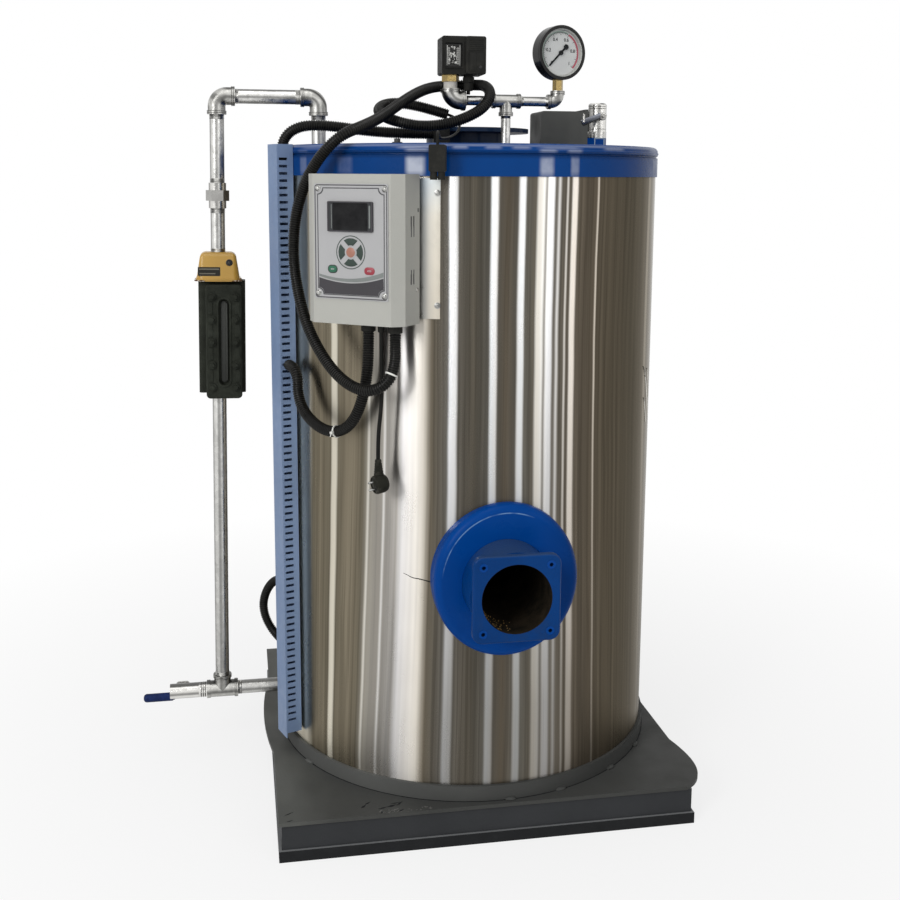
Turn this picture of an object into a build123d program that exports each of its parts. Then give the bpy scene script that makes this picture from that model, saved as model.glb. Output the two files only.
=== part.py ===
from build123d import *
import os
from math import atan2, cos, degrees, radians, sin, tan

os.makedirs("parts", exist_ok=True)

# Vertical steam boiler on a square base. Millimetres, origin on the boiler's axis at the floor,
# +Z up, the burner opening faces -Y and the level column stands on the -X side.

# Clearance between faces that follow the same curve
fit_gap = 0.3

# Base: a low skid strip, a frame of flat walls on it and the plate that carries the boiler
skid_height = 21
skid_step = 5
frame_height = 46
frame_wall = 50
frame_floor = 4
frame_inset_left = 5
frame_inset_right = 23
frame_inset_ends = 4
plate_thickness = 7
plate_margin_left = 24
plate_margin_right = 10
plate_margin_ends = 12
plate_corner_trim = 34
plate_bulge_right = 13
plate_bulge_left = 15
plate_bulge_length = 170
plate_bulge_front = 290
plate_bulge_side = 45

# Jacket, foot ring and lid
jacket_radius = 370
jacket_wall = 4
jacket_height = 1089
ring_height = 29
ring_step = 6
ring_wall = 22
lid_step = 3
lid_wall = 8
lid_top = 8
lid_height = 55
lid_rounding = 9
lid_groove_height = 35
lid_groove_depth = 2.5
lid_groove_width = 4

# Furnace drum inside the jacket and the flue that rises from it
drum_radius = 255
drum_wall = 8
drum_headroom = 45
flue_radius = 78
flue_wall = 6
flue_rise = 36
flue_lip_radius = 122
flue_lip = 8

# Burner mouth
burner_height = 418
rosette_half_width = 129.5
rosette_half_height = 139
rosette_shift = 3
rosette_depth = 22
rosette_rounding = 15
neck_radius = 78
neck_reach = 96
burner_bore_radius = 60.5
flange_size = 152
flange_thickness = 12
flange_corner = 18
flange_rounding = 4
tap_spacing = 116
tap_radius = 4.5
tap_depth = 9

# Pipe sizes
pipe_radius = 13.5
small_pipe_radius = 8.7
bead_step = 4.5
bead_length = 7
fitting_step = 3
elbow_bend = 1.15

# Level column on the left
column_standoff = 127.6
column_lean = 0.85
column_head_rise = 92
column_foot_height = 55
column_tee_leg = 31
column_elbow_leg = 34
nipple_inset = 84
union_drop = 210
union_collar = 14
union_nut = 20
union_nut_radius = 22
float_drop = 566
float_height = 218
float_width = 89
float_back = 26
float_front = 14
float_offset = 6.5
cover_width = 68
cover_depth = 24
cover_offset = 10
cover_drop = 8
cover_headroom = 6
window_width = 20
window_height = 167
window_depth = 10
boss_radius = 8
boss_step = 3
boss_rows = 5
cap_width = 83
cap_depth = 62
cap_height = 55
cap_taper = 9
cap_corner = 14
cap_rounding = 12

# Drain valve at the column's foot
drain_nipple = 16
drain_body = 57
drain_radius = 15
drain_bore = 10
drain_bore_depth = 19
drain_stem_inset = 26
lever_thickness = 4
lever_width = 14
grip_radius = 8.5
grip_rounding = 6.8
drain_lever_length = 86
drain_lever_drop = 24
drain_grip_length = 58
stem_radius = 5
stem_length = 12

# Pipework on the lid: riser, tee, pressure switch branch on the left, gauge branch on the right
manifold_x = 45
manifold_y = -150
manifold_rise = 82
manifold_tee_leg = 27
switch_reach = 104
switch_elbow_leg = 27
switch_elbow_rise = 20.5
switch_elbow_step = 8
gauge_reach = 98
gauge_elbow_leg = 20
bush_radius = 12.5
bush_length = 12
switch_nut_radius = 16
switch_nut_length = 12
switch_width = 80
switch_height = 67
switch_depth = 50
switch_offset = 20
switch_rounding = 4
switch_cover_width = 37
switch_cover_step = 6
switch_window_width = 31
switch_window_height = 42
switch_window_depth = 6
gauge_azimuth = 16
gauge_radius = 49
gauge_depth = 30
gauge_bezel = 6
gauge_bezel_depth = 9
gauge_stem = 19
gauge_stem_radius = 10
dial_thickness = 2
glass_thickness = 2
pointer_length = 33
pointer_tail = 12
pointer_width = 3
pointer_thickness = 1.5
pointer_angle = 225

# Steam valve and the cover box on the lid
steam_x = 249
steam_y = -60
socket_radius = 19
socket_height = 20
steam_radius = 17.5
steam_height = 66
steam_collar = 12
steam_bore = 11
steam_chamfer = 2.5
steam_stem_height = 40
steam_lever_length = 30
cover_box_left = 157
cover_box_front = 20
cover_box_width = 126
cover_box_depth = 90
cover_box_height = 75
cover_box_step = 4
cover_box_step_at = 92
cover_box_rounding = 6

# Controller on the jacket's left front
controller_azimuth = -36.5
controller_rise = 3
controller_height = 250
controller_width = 186
controller_depth = 67
controller_bevel_width = 18
controller_bevel_depth = 17
bracket_right_angle = 19
bracket_left_angle = 13
bracket_thickness = 3
bracket_headroom = 3.5
bracket_foot_rise = 7
panel_width = 142
panel_height = 192
panel_thickness = 1.5
panel_drop = 16
screen_width = 87
screen_height = 50
screen_thickness = 2.5
screen_drop = 29
key_drop = 112
key_radius = 24
key_centre_radius = 8
key_gap = 3
key_thickness = 3
side_key_width = 20
side_key_height = 10
side_key_reach = 35
side_key_drop = 140
vent_width = 4
vent_height = 17
vent_depth = 4
vent_spacing = 9
vent_rise = 48

# Slotted wire trunking beside the controller
trunking_azimuth = -71
trunking_width = 45
trunking_depth = 31
trunking_wall = 2
trunking_foot_gap = 21
trunking_overlap = 10
slot_pitch = 12.9
slot_height = 4.8
slot_length = 16
slot_end_margin = 14

# Flexible conduits, the power lead and what they end in
bend_share = 0.45
conduit_radius = 10
loop_radius = 8.5
exit_run = 24
lead_radius = 2.5
power_radius = 3.5
gland_radius = 12.5
gland_height = 14
cord_gland_radius = 6
entry_width = 30
entry_height = 37
entry_rounding = 4
plug_radius = 19
plug_depth = 28
plug_rounding = 5
plug_turn = 38
plug_shift = 4
plug_neck = 16
plug_neck_radius = 6
plug_shoulder = 19
plug_shoulder_width = 24
plug_shoulder_depth = 18
pin_length = 17
pin_width = 6.4
pin_thickness = 1.6
pin_spacing = 9
connector_width = 28
connector_height = 44
connector_depth = 15
connector_rounding = 3
connector_stub = 13
connector_stub_radius = 6
connector_stub_spacing = 13

# Levels and radii that follow from these
frame_top = skid_height + frame_height
base_top = frame_top + plate_thickness
ring_radius = jacket_radius + ring_step
ring_top = base_top + ring_height
jacket_top = ring_top + jacket_height
lid_radius = jacket_radius + lid_step
deck = jacket_top + lid_height
drum_top = jacket_top - drum_headroom
flue_top = deck + flue_rise
burner_level = base_top + burner_height
controller_level = jacket_top + controller_rise - controller_height
trunking_base_radius = lid_radius + fit_gap
trunking_low = ring_top + trunking_foot_gap
trunking_high = deck + fit_gap
plate_left = -(ring_radius + plate_margin_left)
plate_right = ring_radius + plate_margin_right
plate_front = -(ring_radius + plate_margin_ends)
plate_rear = -plate_front


def side_plane(azimuth, distance, height):
    """Plane on the boiler's side: x runs round to the right, y runs up and z points outwards."""
    angle = radians(azimuth)
    outward = Vector(sin(angle), -cos(angle), 0)
    around = Vector(cos(angle), sin(angle), 0)
    return Plane(origin=outward * distance + Vector(0, 0, height), x_dir=around, z_dir=outward)


def bar(start, end, radius):
    """Round bar or pipe from one point to another."""
    start = Vector(start)
    along = Vector(end) - start
    with BuildPart() as piece:
        with BuildSketch(Plane(origin=start, z_dir=along)):
            Circle(radius)
        extrude(amount=along.length)
    return piece


def elbow(corner, first, second, leg, radius, rise=None):
    """Cast pipe elbow: a bend between two directions with a bead round each mouth."""
    start = corner + first * leg
    end = corner + second * (rise or leg)
    with BuildPart() as piece:
        with BuildLine():
            FilletPolyline(start, corner, end, radius=radius * elbow_bend)
        with BuildSketch(Plane(origin=start, z_dir=first * -1)):
            Circle(radius)
        sweep()
        for mouth, outward in ((start, first), (end, second)):
            with BuildSketch(Plane(origin=mouth, z_dir=outward * -1)):
                Circle(radius + bead_step - fitting_step)
            extrude(amount=bead_length)
    return piece


def tee(centre, run, branch, leg, radius):
    """Cast pipe tee: a straight run with one branch, and a bead round each mouth."""
    with BuildPart() as piece:
        for outward in (run, run * -1, branch):
            with BuildSketch(Plane(origin=centre, z_dir=outward)):
                Circle(radius)
            extrude(amount=leg)
            with BuildSketch(Plane(origin=centre + outward * leg, z_dir=outward * -1)):
                Circle(radius + bead_step - fitting_step)
            extrude(amount=bead_length)
    return piece


def cord(name, points, radius):
    """Flexible cord: straight runs joined by arcs as large as their runs allow."""
    corners = [Vector(point) for point in points]
    runs = [after - before for before, after in zip(corners, corners[1:])]
    bends = []
    for before, after in zip(runs, runs[1:]):
        turn = radians(before.get_angle(after))
        bends.append(bend_share * min(before.length, after.length) / tan(turn / 2))
    print(name, "bend radii", [round(bend) for bend in bends])
    with BuildPart() as piece:
        with BuildLine() as route:
            FilletPolyline(*corners, radius=bends)
        with BuildSketch(Plane(origin=corners[0], z_dir=runs[0])):
            Circle(radius)
        sweep(path=route.wire())
    return piece


def keep(piece, name):
    """Label a finished piece and write it."""
    piece.part.label = name
    export_step(piece.part, f"parts/{name}.step")


right = Vector(1, 0, 0)
left = Vector(-1, 0, 0)
up = Vector(0, 0, 1)
down = Vector(0, 0, -1)

# Base frame on its skid strip, closed below by a floor sheet
frame_left = plate_left + frame_inset_left
frame_right = plate_right - frame_inset_right
frame_width = frame_right - frame_left
frame_depth = 2 * (plate_rear - frame_inset_ends)
frame_middle = (frame_left + frame_right) / 2
with BuildPart() as base_frame:
    with BuildSketch():
        with Locations((frame_middle, 0)):
            Rectangle(frame_width + 2 * skid_step, frame_depth + 2 * skid_step)
    extrude(amount=skid_height)
    with BuildSketch(Plane.XY.offset(skid_height)):
        with Locations((frame_middle, 0)):
            Rectangle(frame_width, frame_depth)
    extrude(amount=frame_height)
    with BuildSketch(Plane.XY.offset(frame_floor)):
        with Locations((frame_middle, 0)):
            Rectangle(frame_width - 2 * frame_wall, frame_depth - 2 * frame_wall)
    extrude(amount=frame_top, mode=Mode.SUBTRACT)
keep(base_frame, "base_frame")

# Base plate with its knocked front right corner and the swelling of its left edge
bulge_front = -plate_bulge_front
bulge_rear = bulge_front + plate_bulge_length / 2
swell_front = plate_bulge_side - plate_bulge_length
swell_rear = plate_bulge_side + plate_bulge_length
with BuildPart() as base_plate:
    with BuildSketch(Plane.XY.offset(frame_top)):
        with BuildLine():
            Line((plate_left, plate_front), (plate_right - plate_corner_trim, plate_front))
            Spline(
                (plate_right - plate_corner_trim, plate_front),
                (plate_right, plate_front + plate_corner_trim),
                (plate_right + plate_bulge_right, bulge_front),
                (plate_right, bulge_rear),
            )
            Polyline(
                (plate_right, bulge_rear),
                (plate_right, plate_rear),
                (plate_left, plate_rear),
                (plate_left, swell_rear),
            )
            ThreePointArc(
                (plate_left, swell_rear),
                (plate_left - plate_bulge_left, plate_bulge_side),
                (plate_left, swell_front),
            )
            Line((plate_left, swell_front), (plate_left, plate_front))
        make_face()
    extrude(amount=plate_thickness)
keep(base_plate, "base_plate")

# Foot ring
with BuildPart() as base_ring:
    with BuildSketch(Plane.XY.offset(base_top)):
        Circle(ring_radius)
        Circle(ring_radius - ring_wall, mode=Mode.SUBTRACT)
    extrude(amount=ring_height)
keep(base_ring, "base_ring")

# Jacket with the burner's and the column's openings
column_foot = Vector(-(jacket_radius + column_standoff), 0, ring_top + column_foot_height)
burner_plane = Plane(origin=(0, 0, burner_level), x_dir=right, z_dir=(0, -1, 0))
with BuildPart() as jacket:
    with BuildSketch(Plane.XY.offset(ring_top)):
        Circle(jacket_radius)
        Circle(jacket_radius - jacket_wall, mode=Mode.SUBTRACT)
    extrude(amount=jacket_height)
    with BuildSketch(burner_plane):
        Circle(neck_radius + fit_gap)
    extrude(amount=jacket_radius, mode=Mode.SUBTRACT)
    with BuildSketch(Plane(origin=(0, 0, column_foot.Z), z_dir=left)):
        Circle(pipe_radius + fit_gap)
    extrude(amount=jacket_radius, mode=Mode.SUBTRACT)
keep(jacket, "jacket")

# Lid: a deep blue cap with a groove below its rounded rim
lid_inside = jacket_radius - lid_wall + lid_step
groove_low = jacket_top + lid_groove_height
groove_high = groove_low + lid_groove_width
with BuildPart() as top_lid:
    with BuildSketch(Plane.XZ):
        with BuildLine():
            Polyline(
                (lid_radius, groove_low),
                (lid_radius, jacket_top),
                (lid_inside, jacket_top),
                (lid_inside, deck - lid_top),
                (flue_radius + fit_gap, deck - lid_top),
                (flue_radius + fit_gap, deck),
                (lid_radius - lid_rounding, deck),
            )
            RadiusArc(
                (lid_radius - lid_rounding, deck), (lid_radius, deck - lid_rounding), lid_rounding
            )
            Line((lid_radius, deck - lid_rounding), (lid_radius, groove_high))
            ThreePointArc(
                (lid_radius, groove_high),
                (lid_radius - lid_groove_depth, (groove_low + groove_high) / 2),
                (lid_radius, groove_low),
            )
        make_face()
    revolve(axis=Axis.Z)
keep(top_lid, "top_lid")

# Furnace drum behind the burner mouth, standing on the plate
with BuildPart() as furnace_drum:
    with BuildSketch(Plane.XY.offset(base_top)):
        Circle(drum_radius)
        Circle(drum_radius - drum_wall, mode=Mode.SUBTRACT)
    extrude(amount=drum_top - base_top)
    with BuildSketch(Plane.XY.offset(drum_top)):
        Circle(drum_radius)
        Circle(flue_radius - flue_wall, mode=Mode.SUBTRACT)
    extrude(amount=-drum_wall)
    with BuildSketch(burner_plane):
        Circle(neck_radius + fit_gap)
    extrude(amount=drum_radius, mode=Mode.SUBTRACT)
keep(furnace_drum, "furnace_drum")

# Flue stub with its flat lip
with BuildPart() as flue_collar:
    with BuildSketch(Plane.XY.offset(drum_top)):
        Circle(flue_radius)
        Circle(flue_radius - flue_wall, mode=Mode.SUBTRACT)
    extrude(amount=flue_top - drum_top)
    with BuildSketch(Plane.XY.offset(flue_top - flue_lip)):
        Circle(flue_lip_radius)
        Circle(flue_radius - flue_wall, mode=Mode.SUBTRACT)
    extrude(amount=flue_lip)
keep(flue_collar, "flue_collar")

# Burner rosette: a round plate with a rolled edge, bent to the jacket
rosette_face = jacket_radius + rosette_depth
with BuildPart() as burner_rosette:
    with BuildSketch(burner_plane):
        with Locations((rosette_shift, 0)):
            Ellipse(rosette_half_width, rosette_half_height)
    extrude(amount=rosette_face)
    with BuildSketch(Plane.XY):
        Circle(rosette_face)
    extrude(amount=deck, mode=Mode.INTERSECT)
    fillet(faces().sort_by(Axis.Y)[0].edges(), rosette_rounding)
    with BuildSketch(burner_plane):
        Circle(neck_radius + fit_gap)
    extrude(amount=rosette_face, mode=Mode.SUBTRACT)
    with BuildSketch(Plane.XY):
        Circle(jacket_radius + fit_gap)
    extrude(amount=deck, mode=Mode.SUBTRACT)
keep(burner_rosette, "burner_rosette")

# Burner mouth: a round neck from inside the drum wall out to a square flange with tapped holes
neck_start = drum_radius - drum_wall
flange_back = jacket_radius + neck_reach
flange_face = flange_back + flange_thickness
with BuildPart() as burner_mouth:
    with BuildSketch(burner_plane.offset(neck_start)):
        Circle(neck_radius)
    extrude(amount=flange_back - neck_start)
    with BuildSketch(burner_plane.offset(flange_back)):
        RectangleRounded(flange_size, flange_size, flange_corner)
    extrude(amount=flange_thickness)
    fillet(faces().sort_by(Axis.Y)[0].edges(), flange_rounding)
    with BuildSketch(burner_plane.offset(flange_face)):
        with GridLocations(tap_spacing, tap_spacing, 2, 2):
            Circle(tap_radius)
    extrude(amount=-tap_depth, mode=Mode.SUBTRACT)
    with BuildSketch(burner_plane):
        Circle(burner_bore_radius)
    extrude(amount=flange_face, mode=Mode.SUBTRACT)
keep(burner_mouth, "burner_mouth")

# Level column: foot tee, drain, lower pipe, float housing, cap, union and the elbows at its head
column_up = Vector(sin(radians(column_lean)), 0, cos(radians(column_lean)))
column_right = Vector(cos(radians(column_lean)), 0, -sin(radians(column_lean)))
column_height = (deck + column_head_rise - column_foot.Z) / cos(radians(column_lean))
column_head = column_foot + column_up * column_height
nipple_x = -(lid_radius - nipple_inset)
nipple_corner = Vector(nipple_x, 0, column_head.Z)


def column_plane(rise):
    """Plane across the leaning column at a distance above its foot: x to the right, y to the back."""
    return Plane(origin=column_foot + column_up * rise, x_dir=column_right, z_dir=column_up)


float_base = column_height - float_drop
float_top = float_base + float_height
with BuildPart() as float_housing:
    with BuildSketch(column_plane(float_base)):
        with Locations((float_offset, (float_back - float_front) / 2)):
            RectangleRounded(float_width, float_back + float_front, boss_radius)
    extrude(amount=float_height)
keep(float_housing, "float_housing")

cover_height = float_height - cover_headroom + cover_drop
cover_plane = Plane(
    origin=column_plane(float_base).from_local_coords(Vector(cover_offset, -float_front, 0)),
    x_dir=column_right,
    z_dir=(0, -1, 0),
)
boss_pitch = (window_height + boss_radius) / (boss_rows - 1)
boss_reach = (cover_width + window_width) / 2
with BuildPart() as float_cover:
    with BuildSketch(cover_plane):
        with Locations((0, cover_height / 2 - cover_drop)):
            RectangleRounded(cover_width, cover_height, boss_radius)
    extrude(amount=cover_depth)
    fillet(faces().sort_by(Axis.Y)[0].edges(), boss_step)
    with BuildSketch(cover_plane.offset(cover_depth)):
        with Locations((0, cover_height / 2 - cover_drop)):
            with GridLocations(boss_reach, boss_pitch, 2, boss_rows):
                Circle(boss_radius)
    extrude(amount=boss_step)
    with BuildSketch(cover_plane.offset(cover_depth)):
        with Locations((0, cover_height / 2 - cover_drop)):
            SlotOverall(window_height, window_width, rotation=90)
    extrude(amount=-window_depth, mode=Mode.SUBTRACT)
keep(float_cover, "float_cover")

cap_top = float_top + cap_height
with BuildPart() as float_cap:
    with BuildSketch(column_plane(float_top)):
        RectangleRounded(cap_width, cap_depth, cap_corner)
    extrude(amount=cap_height, taper=cap_taper)
    fillet(faces().sort_by(Axis.Z)[-1].edges(), cap_rounding)
keep(float_cap, "float_cap")

union_base = column_height - union_drop
union_top = union_base + 2 * union_collar + union_nut
with BuildPart() as column_union:
    with BuildSketch(column_plane(union_base)):
        Circle(pipe_radius + fitting_step)
    extrude(amount=2 * union_collar + union_nut)
    with BuildSketch(column_plane(union_base + union_collar)):
        RegularPolygon(union_nut_radius, 6)
    extrude(amount=union_nut)
keep(column_union, "column_union")

# Foot tee and the two elbows at the head
column_fitting = pipe_radius + fitting_step
with BuildPart() as column_fittings:
    add(tee(column_foot, right, column_up, column_tee_leg, column_fitting).part)
    add(elbow(column_head, column_up * -1, right, column_elbow_leg, column_fitting).part)
    add(elbow(nipple_corner, left, down, column_elbow_leg, column_fitting).part)
keep(column_fittings, "column_fittings")

# Pipes between them, each butted against the fittings at its ends
column_runs = [
    (column_foot + right * column_tee_leg, Vector(-(jacket_radius - jacket_wall), 0, column_foot.Z)),
    (column_foot + column_up * column_tee_leg, column_foot + column_up * float_base),
    (column_foot + column_up * cap_top, column_foot + column_up * union_base),
    (column_foot + column_up * union_top, column_head - column_up * column_elbow_leg),
    (column_head + right * column_elbow_leg, nipple_corner + left * column_elbow_leg),
    (nipple_corner + down * column_elbow_leg, Vector(nipple_x, 0, deck)),
]
with BuildPart() as column_pipes:
    for start, end in column_runs:
        add(bar(start, end, pipe_radius).part)
keep(column_pipes, "column_pipes")

# Drain valve: hex nipple and bored body at the tee's open end, lever behind it
drain_start = column_foot + left * column_tee_leg
drain_plane = Plane(origin=drain_start, x_dir=(0, -1, 0), z_dir=left)
drain_stem = drain_start + left * (drain_nipple + drain_stem_inset)
with BuildPart() as drain_valve:
    with BuildSketch(drain_plane):
        RegularPolygon(drain_radius, 6)
    extrude(amount=drain_nipple)
    with BuildSketch(drain_plane.offset(drain_nipple)):
        Circle(drain_radius)
    extrude(amount=drain_body)
    with BuildSketch(drain_plane.offset(drain_nipple + drain_body)):
        Circle(drain_bore)
    extrude(amount=-drain_bore_depth, mode=Mode.SUBTRACT)
    with BuildSketch(Plane(origin=drain_stem, z_dir=(0, 1, 0))):
        Circle(stem_radius)
    extrude(amount=drain_radius + stem_length)
keep(drain_valve, "drain_valve")

# The lever's plate turns on the stem's end and drops to a sleeved grip
lever_back = drain_radius + stem_length + fit_gap
lever_plane = Plane(origin=drain_stem + Vector(0, lever_back, 0), x_dir=left, z_dir=(0, 1, 0))
grip_start = drain_lever_length - drain_grip_length
with BuildPart() as drain_lever:
    with BuildSketch(lever_plane):
        with BuildLine():
            Polyline((0, 0), (grip_start / 2, 0), (grip_start, -drain_lever_drop))
            offset(amount=lever_width / 2)
        make_face()
    extrude(amount=lever_thickness)
    grip_centre = lever_plane.offset(lever_thickness / 2).from_local_coords(
        Vector(grip_start, -drain_lever_drop, 0)
    )
    with BuildSketch(Plane(origin=grip_centre, z_dir=left)):
        Circle(grip_radius)
    extrude(amount=drain_grip_length)
    fillet(faces().sort_by(Axis.X)[0].edges(), grip_rounding)
keep(drain_lever, "drain_lever")

# Pipework on the lid
manifold_level = deck + manifold_rise
manifold_centre = Vector(manifold_x, manifold_y, manifold_level)
small_fitting = small_pipe_radius + fitting_step
switch_corner = manifold_centre + left * switch_reach
gauge_corner = manifold_centre + right * gauge_reach
switch_fitting = small_pipe_radius + switch_elbow_step
with BuildPart() as manifold_fittings:
    add(tee(manifold_centre, right, down, manifold_tee_leg, small_fitting).part)
    add(elbow(switch_corner, right, up, switch_elbow_leg, switch_fitting, switch_elbow_rise).part)
    add(elbow(gauge_corner, left, up, gauge_elbow_leg, small_fitting).part)
keep(manifold_fittings, "manifold_fittings")

manifold_runs = [
    (Vector(manifold_x, manifold_y, deck), manifold_centre + down * manifold_tee_leg),
    (manifold_centre + left * manifold_tee_leg, switch_corner + right * switch_elbow_leg),
    (manifold_centre + right * manifold_tee_leg, gauge_corner + left * gauge_elbow_leg),
]
with BuildPart() as manifold_pipes:
    for start, end in manifold_runs:
        add(bar(start, end, small_pipe_radius).part)
keep(manifold_pipes, "manifold_pipes")

# Bush and brass nut below the pressure switch
bush_base = switch_corner + up * switch_elbow_rise
switch_base = bush_base + up * (bush_length + switch_nut_length)
switch_bush = bar(bush_base, bush_base + up * bush_length, bush_radius)
keep(switch_bush, "switch_bush")

with BuildPart() as switch_nut:
    with BuildSketch(Plane(origin=bush_base + up * bush_length, x_dir=right, z_dir=up)):
        RegularPolygon(switch_nut_radius, 6)
    extrude(amount=switch_nut_length)
keep(switch_nut, "switch_nut")

# Pressure switch: a case with a raised cover on its right half and a window on its left
switch_front = Plane(
    origin=switch_base + Vector(switch_offset, -switch_depth / 2, switch_height / 2),
    x_dir=right,
    z_dir=(0, -1, 0),
)
switch_left_width = switch_width - switch_cover_width
with BuildPart() as pressure_switch:
    with BuildSketch(switch_front):
        Rectangle(switch_width, switch_height)
    extrude(amount=-switch_depth)
    fillet(edges().filter_by(Axis.Y), switch_rounding)
    with BuildSketch(switch_front):
        with Locations((-switch_cover_width / 2, 0)):
            RectangleRounded(switch_window_width, switch_window_height, switch_rounding / 2)
    extrude(amount=-switch_window_depth, mode=Mode.SUBTRACT)
    with BuildSketch(switch_front):
        with Locations((switch_left_width / 2, 0)):
            RectangleRounded(switch_cover_width, switch_height, switch_rounding)
    extrude(amount=switch_cover_step)
    fillet(faces().sort_by(Axis.Y)[0].edges(), switch_rounding / 2)
keep(pressure_switch, "pressure_switch")

# Brass stem, case, dial, pointer and glass of the gauge
gauge_seat = gauge_corner + up * gauge_elbow_leg
gauge_axis = gauge_seat + up * (gauge_stem + gauge_radius)
gauge_turn = radians(gauge_azimuth)
gauge_back = Plane(
    origin=gauge_axis - Vector(sin(gauge_turn), -cos(gauge_turn), 0) * (gauge_depth / 2),
    x_dir=(cos(gauge_turn), sin(gauge_turn), 0),
    z_dir=(sin(gauge_turn), -cos(gauge_turn), 0),
)
gauge_front = gauge_back.offset(gauge_depth)
with BuildPart() as gauge_adapter:
    with BuildSketch(Plane(origin=gauge_seat, x_dir=right, z_dir=up)):
        RegularPolygon(gauge_stem_radius, 6)
    extrude(amount=gauge_stem + gauge_bezel)
    with BuildSketch(gauge_back.offset(-gauge_depth)):
        Circle(gauge_radius + fit_gap)
    extrude(amount=3 * gauge_depth, mode=Mode.SUBTRACT)
keep(gauge_adapter, "gauge_adapter")

with BuildPart() as gauge_case:
    with BuildSketch(gauge_back):
        Circle(gauge_radius)
    extrude(amount=gauge_depth)
    fillet(faces().sort_by(Axis.Y)[-1].edges(), gauge_bezel)
    with BuildSketch(gauge_front):
        Circle(gauge_radius - gauge_bezel)
    extrude(amount=-gauge_bezel_depth, mode=Mode.SUBTRACT)
keep(gauge_case, "gauge_case")

dial_back = gauge_front.offset(-gauge_bezel_depth)
dial_radius = gauge_radius - gauge_bezel - fit_gap
with BuildPart() as gauge_dial:
    with BuildSketch(dial_back):
        Circle(dial_radius)
    extrude(amount=dial_thickness)
keep(gauge_dial, "gauge_dial")

with BuildPart() as gauge_pointer:
    with BuildSketch(dial_back.offset(dial_thickness)):
        Circle(pointer_width)
        with Locations(Location((0, 0, 0), (0, 0, pointer_angle))):
            with Locations(((pointer_length - pointer_tail) / 2, 0)):
                Rectangle(pointer_length + pointer_tail, pointer_width)
    extrude(amount=pointer_thickness)
keep(gauge_pointer, "gauge_pointer")

with BuildPart() as gauge_glass:
    with BuildSketch(gauge_front):
        Circle(dial_radius)
    extrude(amount=-glass_thickness)
keep(gauge_glass, "gauge_glass")

# Steam outlet: welded socket, chromed ball valve and its short lever
steam_seat = Vector(steam_x, steam_y, deck)
with BuildPart() as steam_socket:
    with BuildSketch(Plane(origin=steam_seat, x_dir=right, z_dir=up)):
        RegularPolygon(socket_radius, 6)
    extrude(amount=socket_height)
keep(steam_socket, "steam_socket")

steam_base = steam_seat + up * socket_height
steam_plane = Plane(origin=steam_base, x_dir=right, z_dir=up)
steam_stem = steam_base + up * steam_stem_height
with BuildPart() as steam_valve:
    with BuildSketch(steam_plane):
        Circle(steam_radius)
    extrude(amount=steam_height)
    chamfer(edges().filter_by(GeomType.CIRCLE).sort_by(Axis.Z)[-1], steam_chamfer)
    with BuildSketch(steam_plane):
        RegularPolygon(steam_radius + fitting_step / 2, 6)
    extrude(amount=steam_collar)
    with BuildSketch(steam_plane.offset(steam_height)):
        Circle(steam_bore)
    extrude(amount=-steam_collar, mode=Mode.SUBTRACT)
    with BuildSketch(Plane(origin=steam_stem, z_dir=(0, -1, 0))):
        Circle(stem_radius)
    extrude(amount=steam_radius + stem_length)
keep(steam_valve, "steam_valve")

steam_lever_front = steam_radius + stem_length + fit_gap
steam_lever_plane = Plane(
    origin=steam_stem + Vector(0, -steam_lever_front, 0), x_dir=left, z_dir=(0, -1, 0)
)
with BuildPart() as steam_lever:
    with BuildSketch(steam_lever_plane):
        with Locations((steam_lever_length / 2 - stem_radius, 0)):
            SlotOverall(steam_lever_length, lever_width)
    extrude(amount=lever_thickness * 2)
    fillet(faces().sort_by(Axis.Y)[0].edges(), lever_thickness / 2)
keep(steam_lever, "steam_lever")

# Grey sheet cover behind the steam valve, its right part a little higher
with BuildPart() as lid_cover:
    with BuildSketch(Plane.XZ.offset(-cover_box_front)):
        with BuildLine():
            Polyline(
                (cover_box_left, deck),
                (cover_box_left, deck + cover_box_height),
                (cover_box_left + cover_box_step_at, deck + cover_box_height),
                (cover_box_left + cover_box_step_at, deck + cover_box_height + cover_box_step),
                (cover_box_left + cover_box_width, deck + cover_box_height + cover_box_step),
                (cover_box_left + cover_box_width, deck),
                close=True,
            )
        make_face()
    extrude(amount=-cover_box_depth)
    fillet(edges().filter_by(Axis.Y).sort_by(Axis.X)[:2].sort_by(Axis.Z)[-1], cover_box_rounding)
keep(lid_cover, "lid_cover")

# Controller: bracket sheet on the jacket, bevelled box, front panel, screen and keys
bracket_inner = jacket_radius + fit_gap
bracket_outer = bracket_inner + bracket_thickness
controller_back = max(bracket_outer, lid_radius) + fit_gap
bracket_low = controller_level + bracket_foot_rise
bracket_high = jacket_top - bracket_headroom
with BuildPart() as controller_bracket:
    with BuildSketch(Plane.XY.offset(bracket_low)):
        with BuildLine():
            sweep_angle = bracket_left_angle + bracket_right_angle
            start_angle = controller_azimuth - 90 - bracket_left_angle
            CenterArc((0, 0), bracket_outer, start_angle, sweep_angle)
            CenterArc((0, 0), bracket_inner, start_angle, sweep_angle)
            for angle in (start_angle, start_angle + sweep_angle):
                toward = Vector(cos(radians(angle)), sin(radians(angle)))
                Line(toward * bracket_inner, toward * bracket_outer)
        make_face()
    extrude(amount=bracket_high - bracket_low)
keep(controller_bracket, "controller_bracket")

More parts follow.
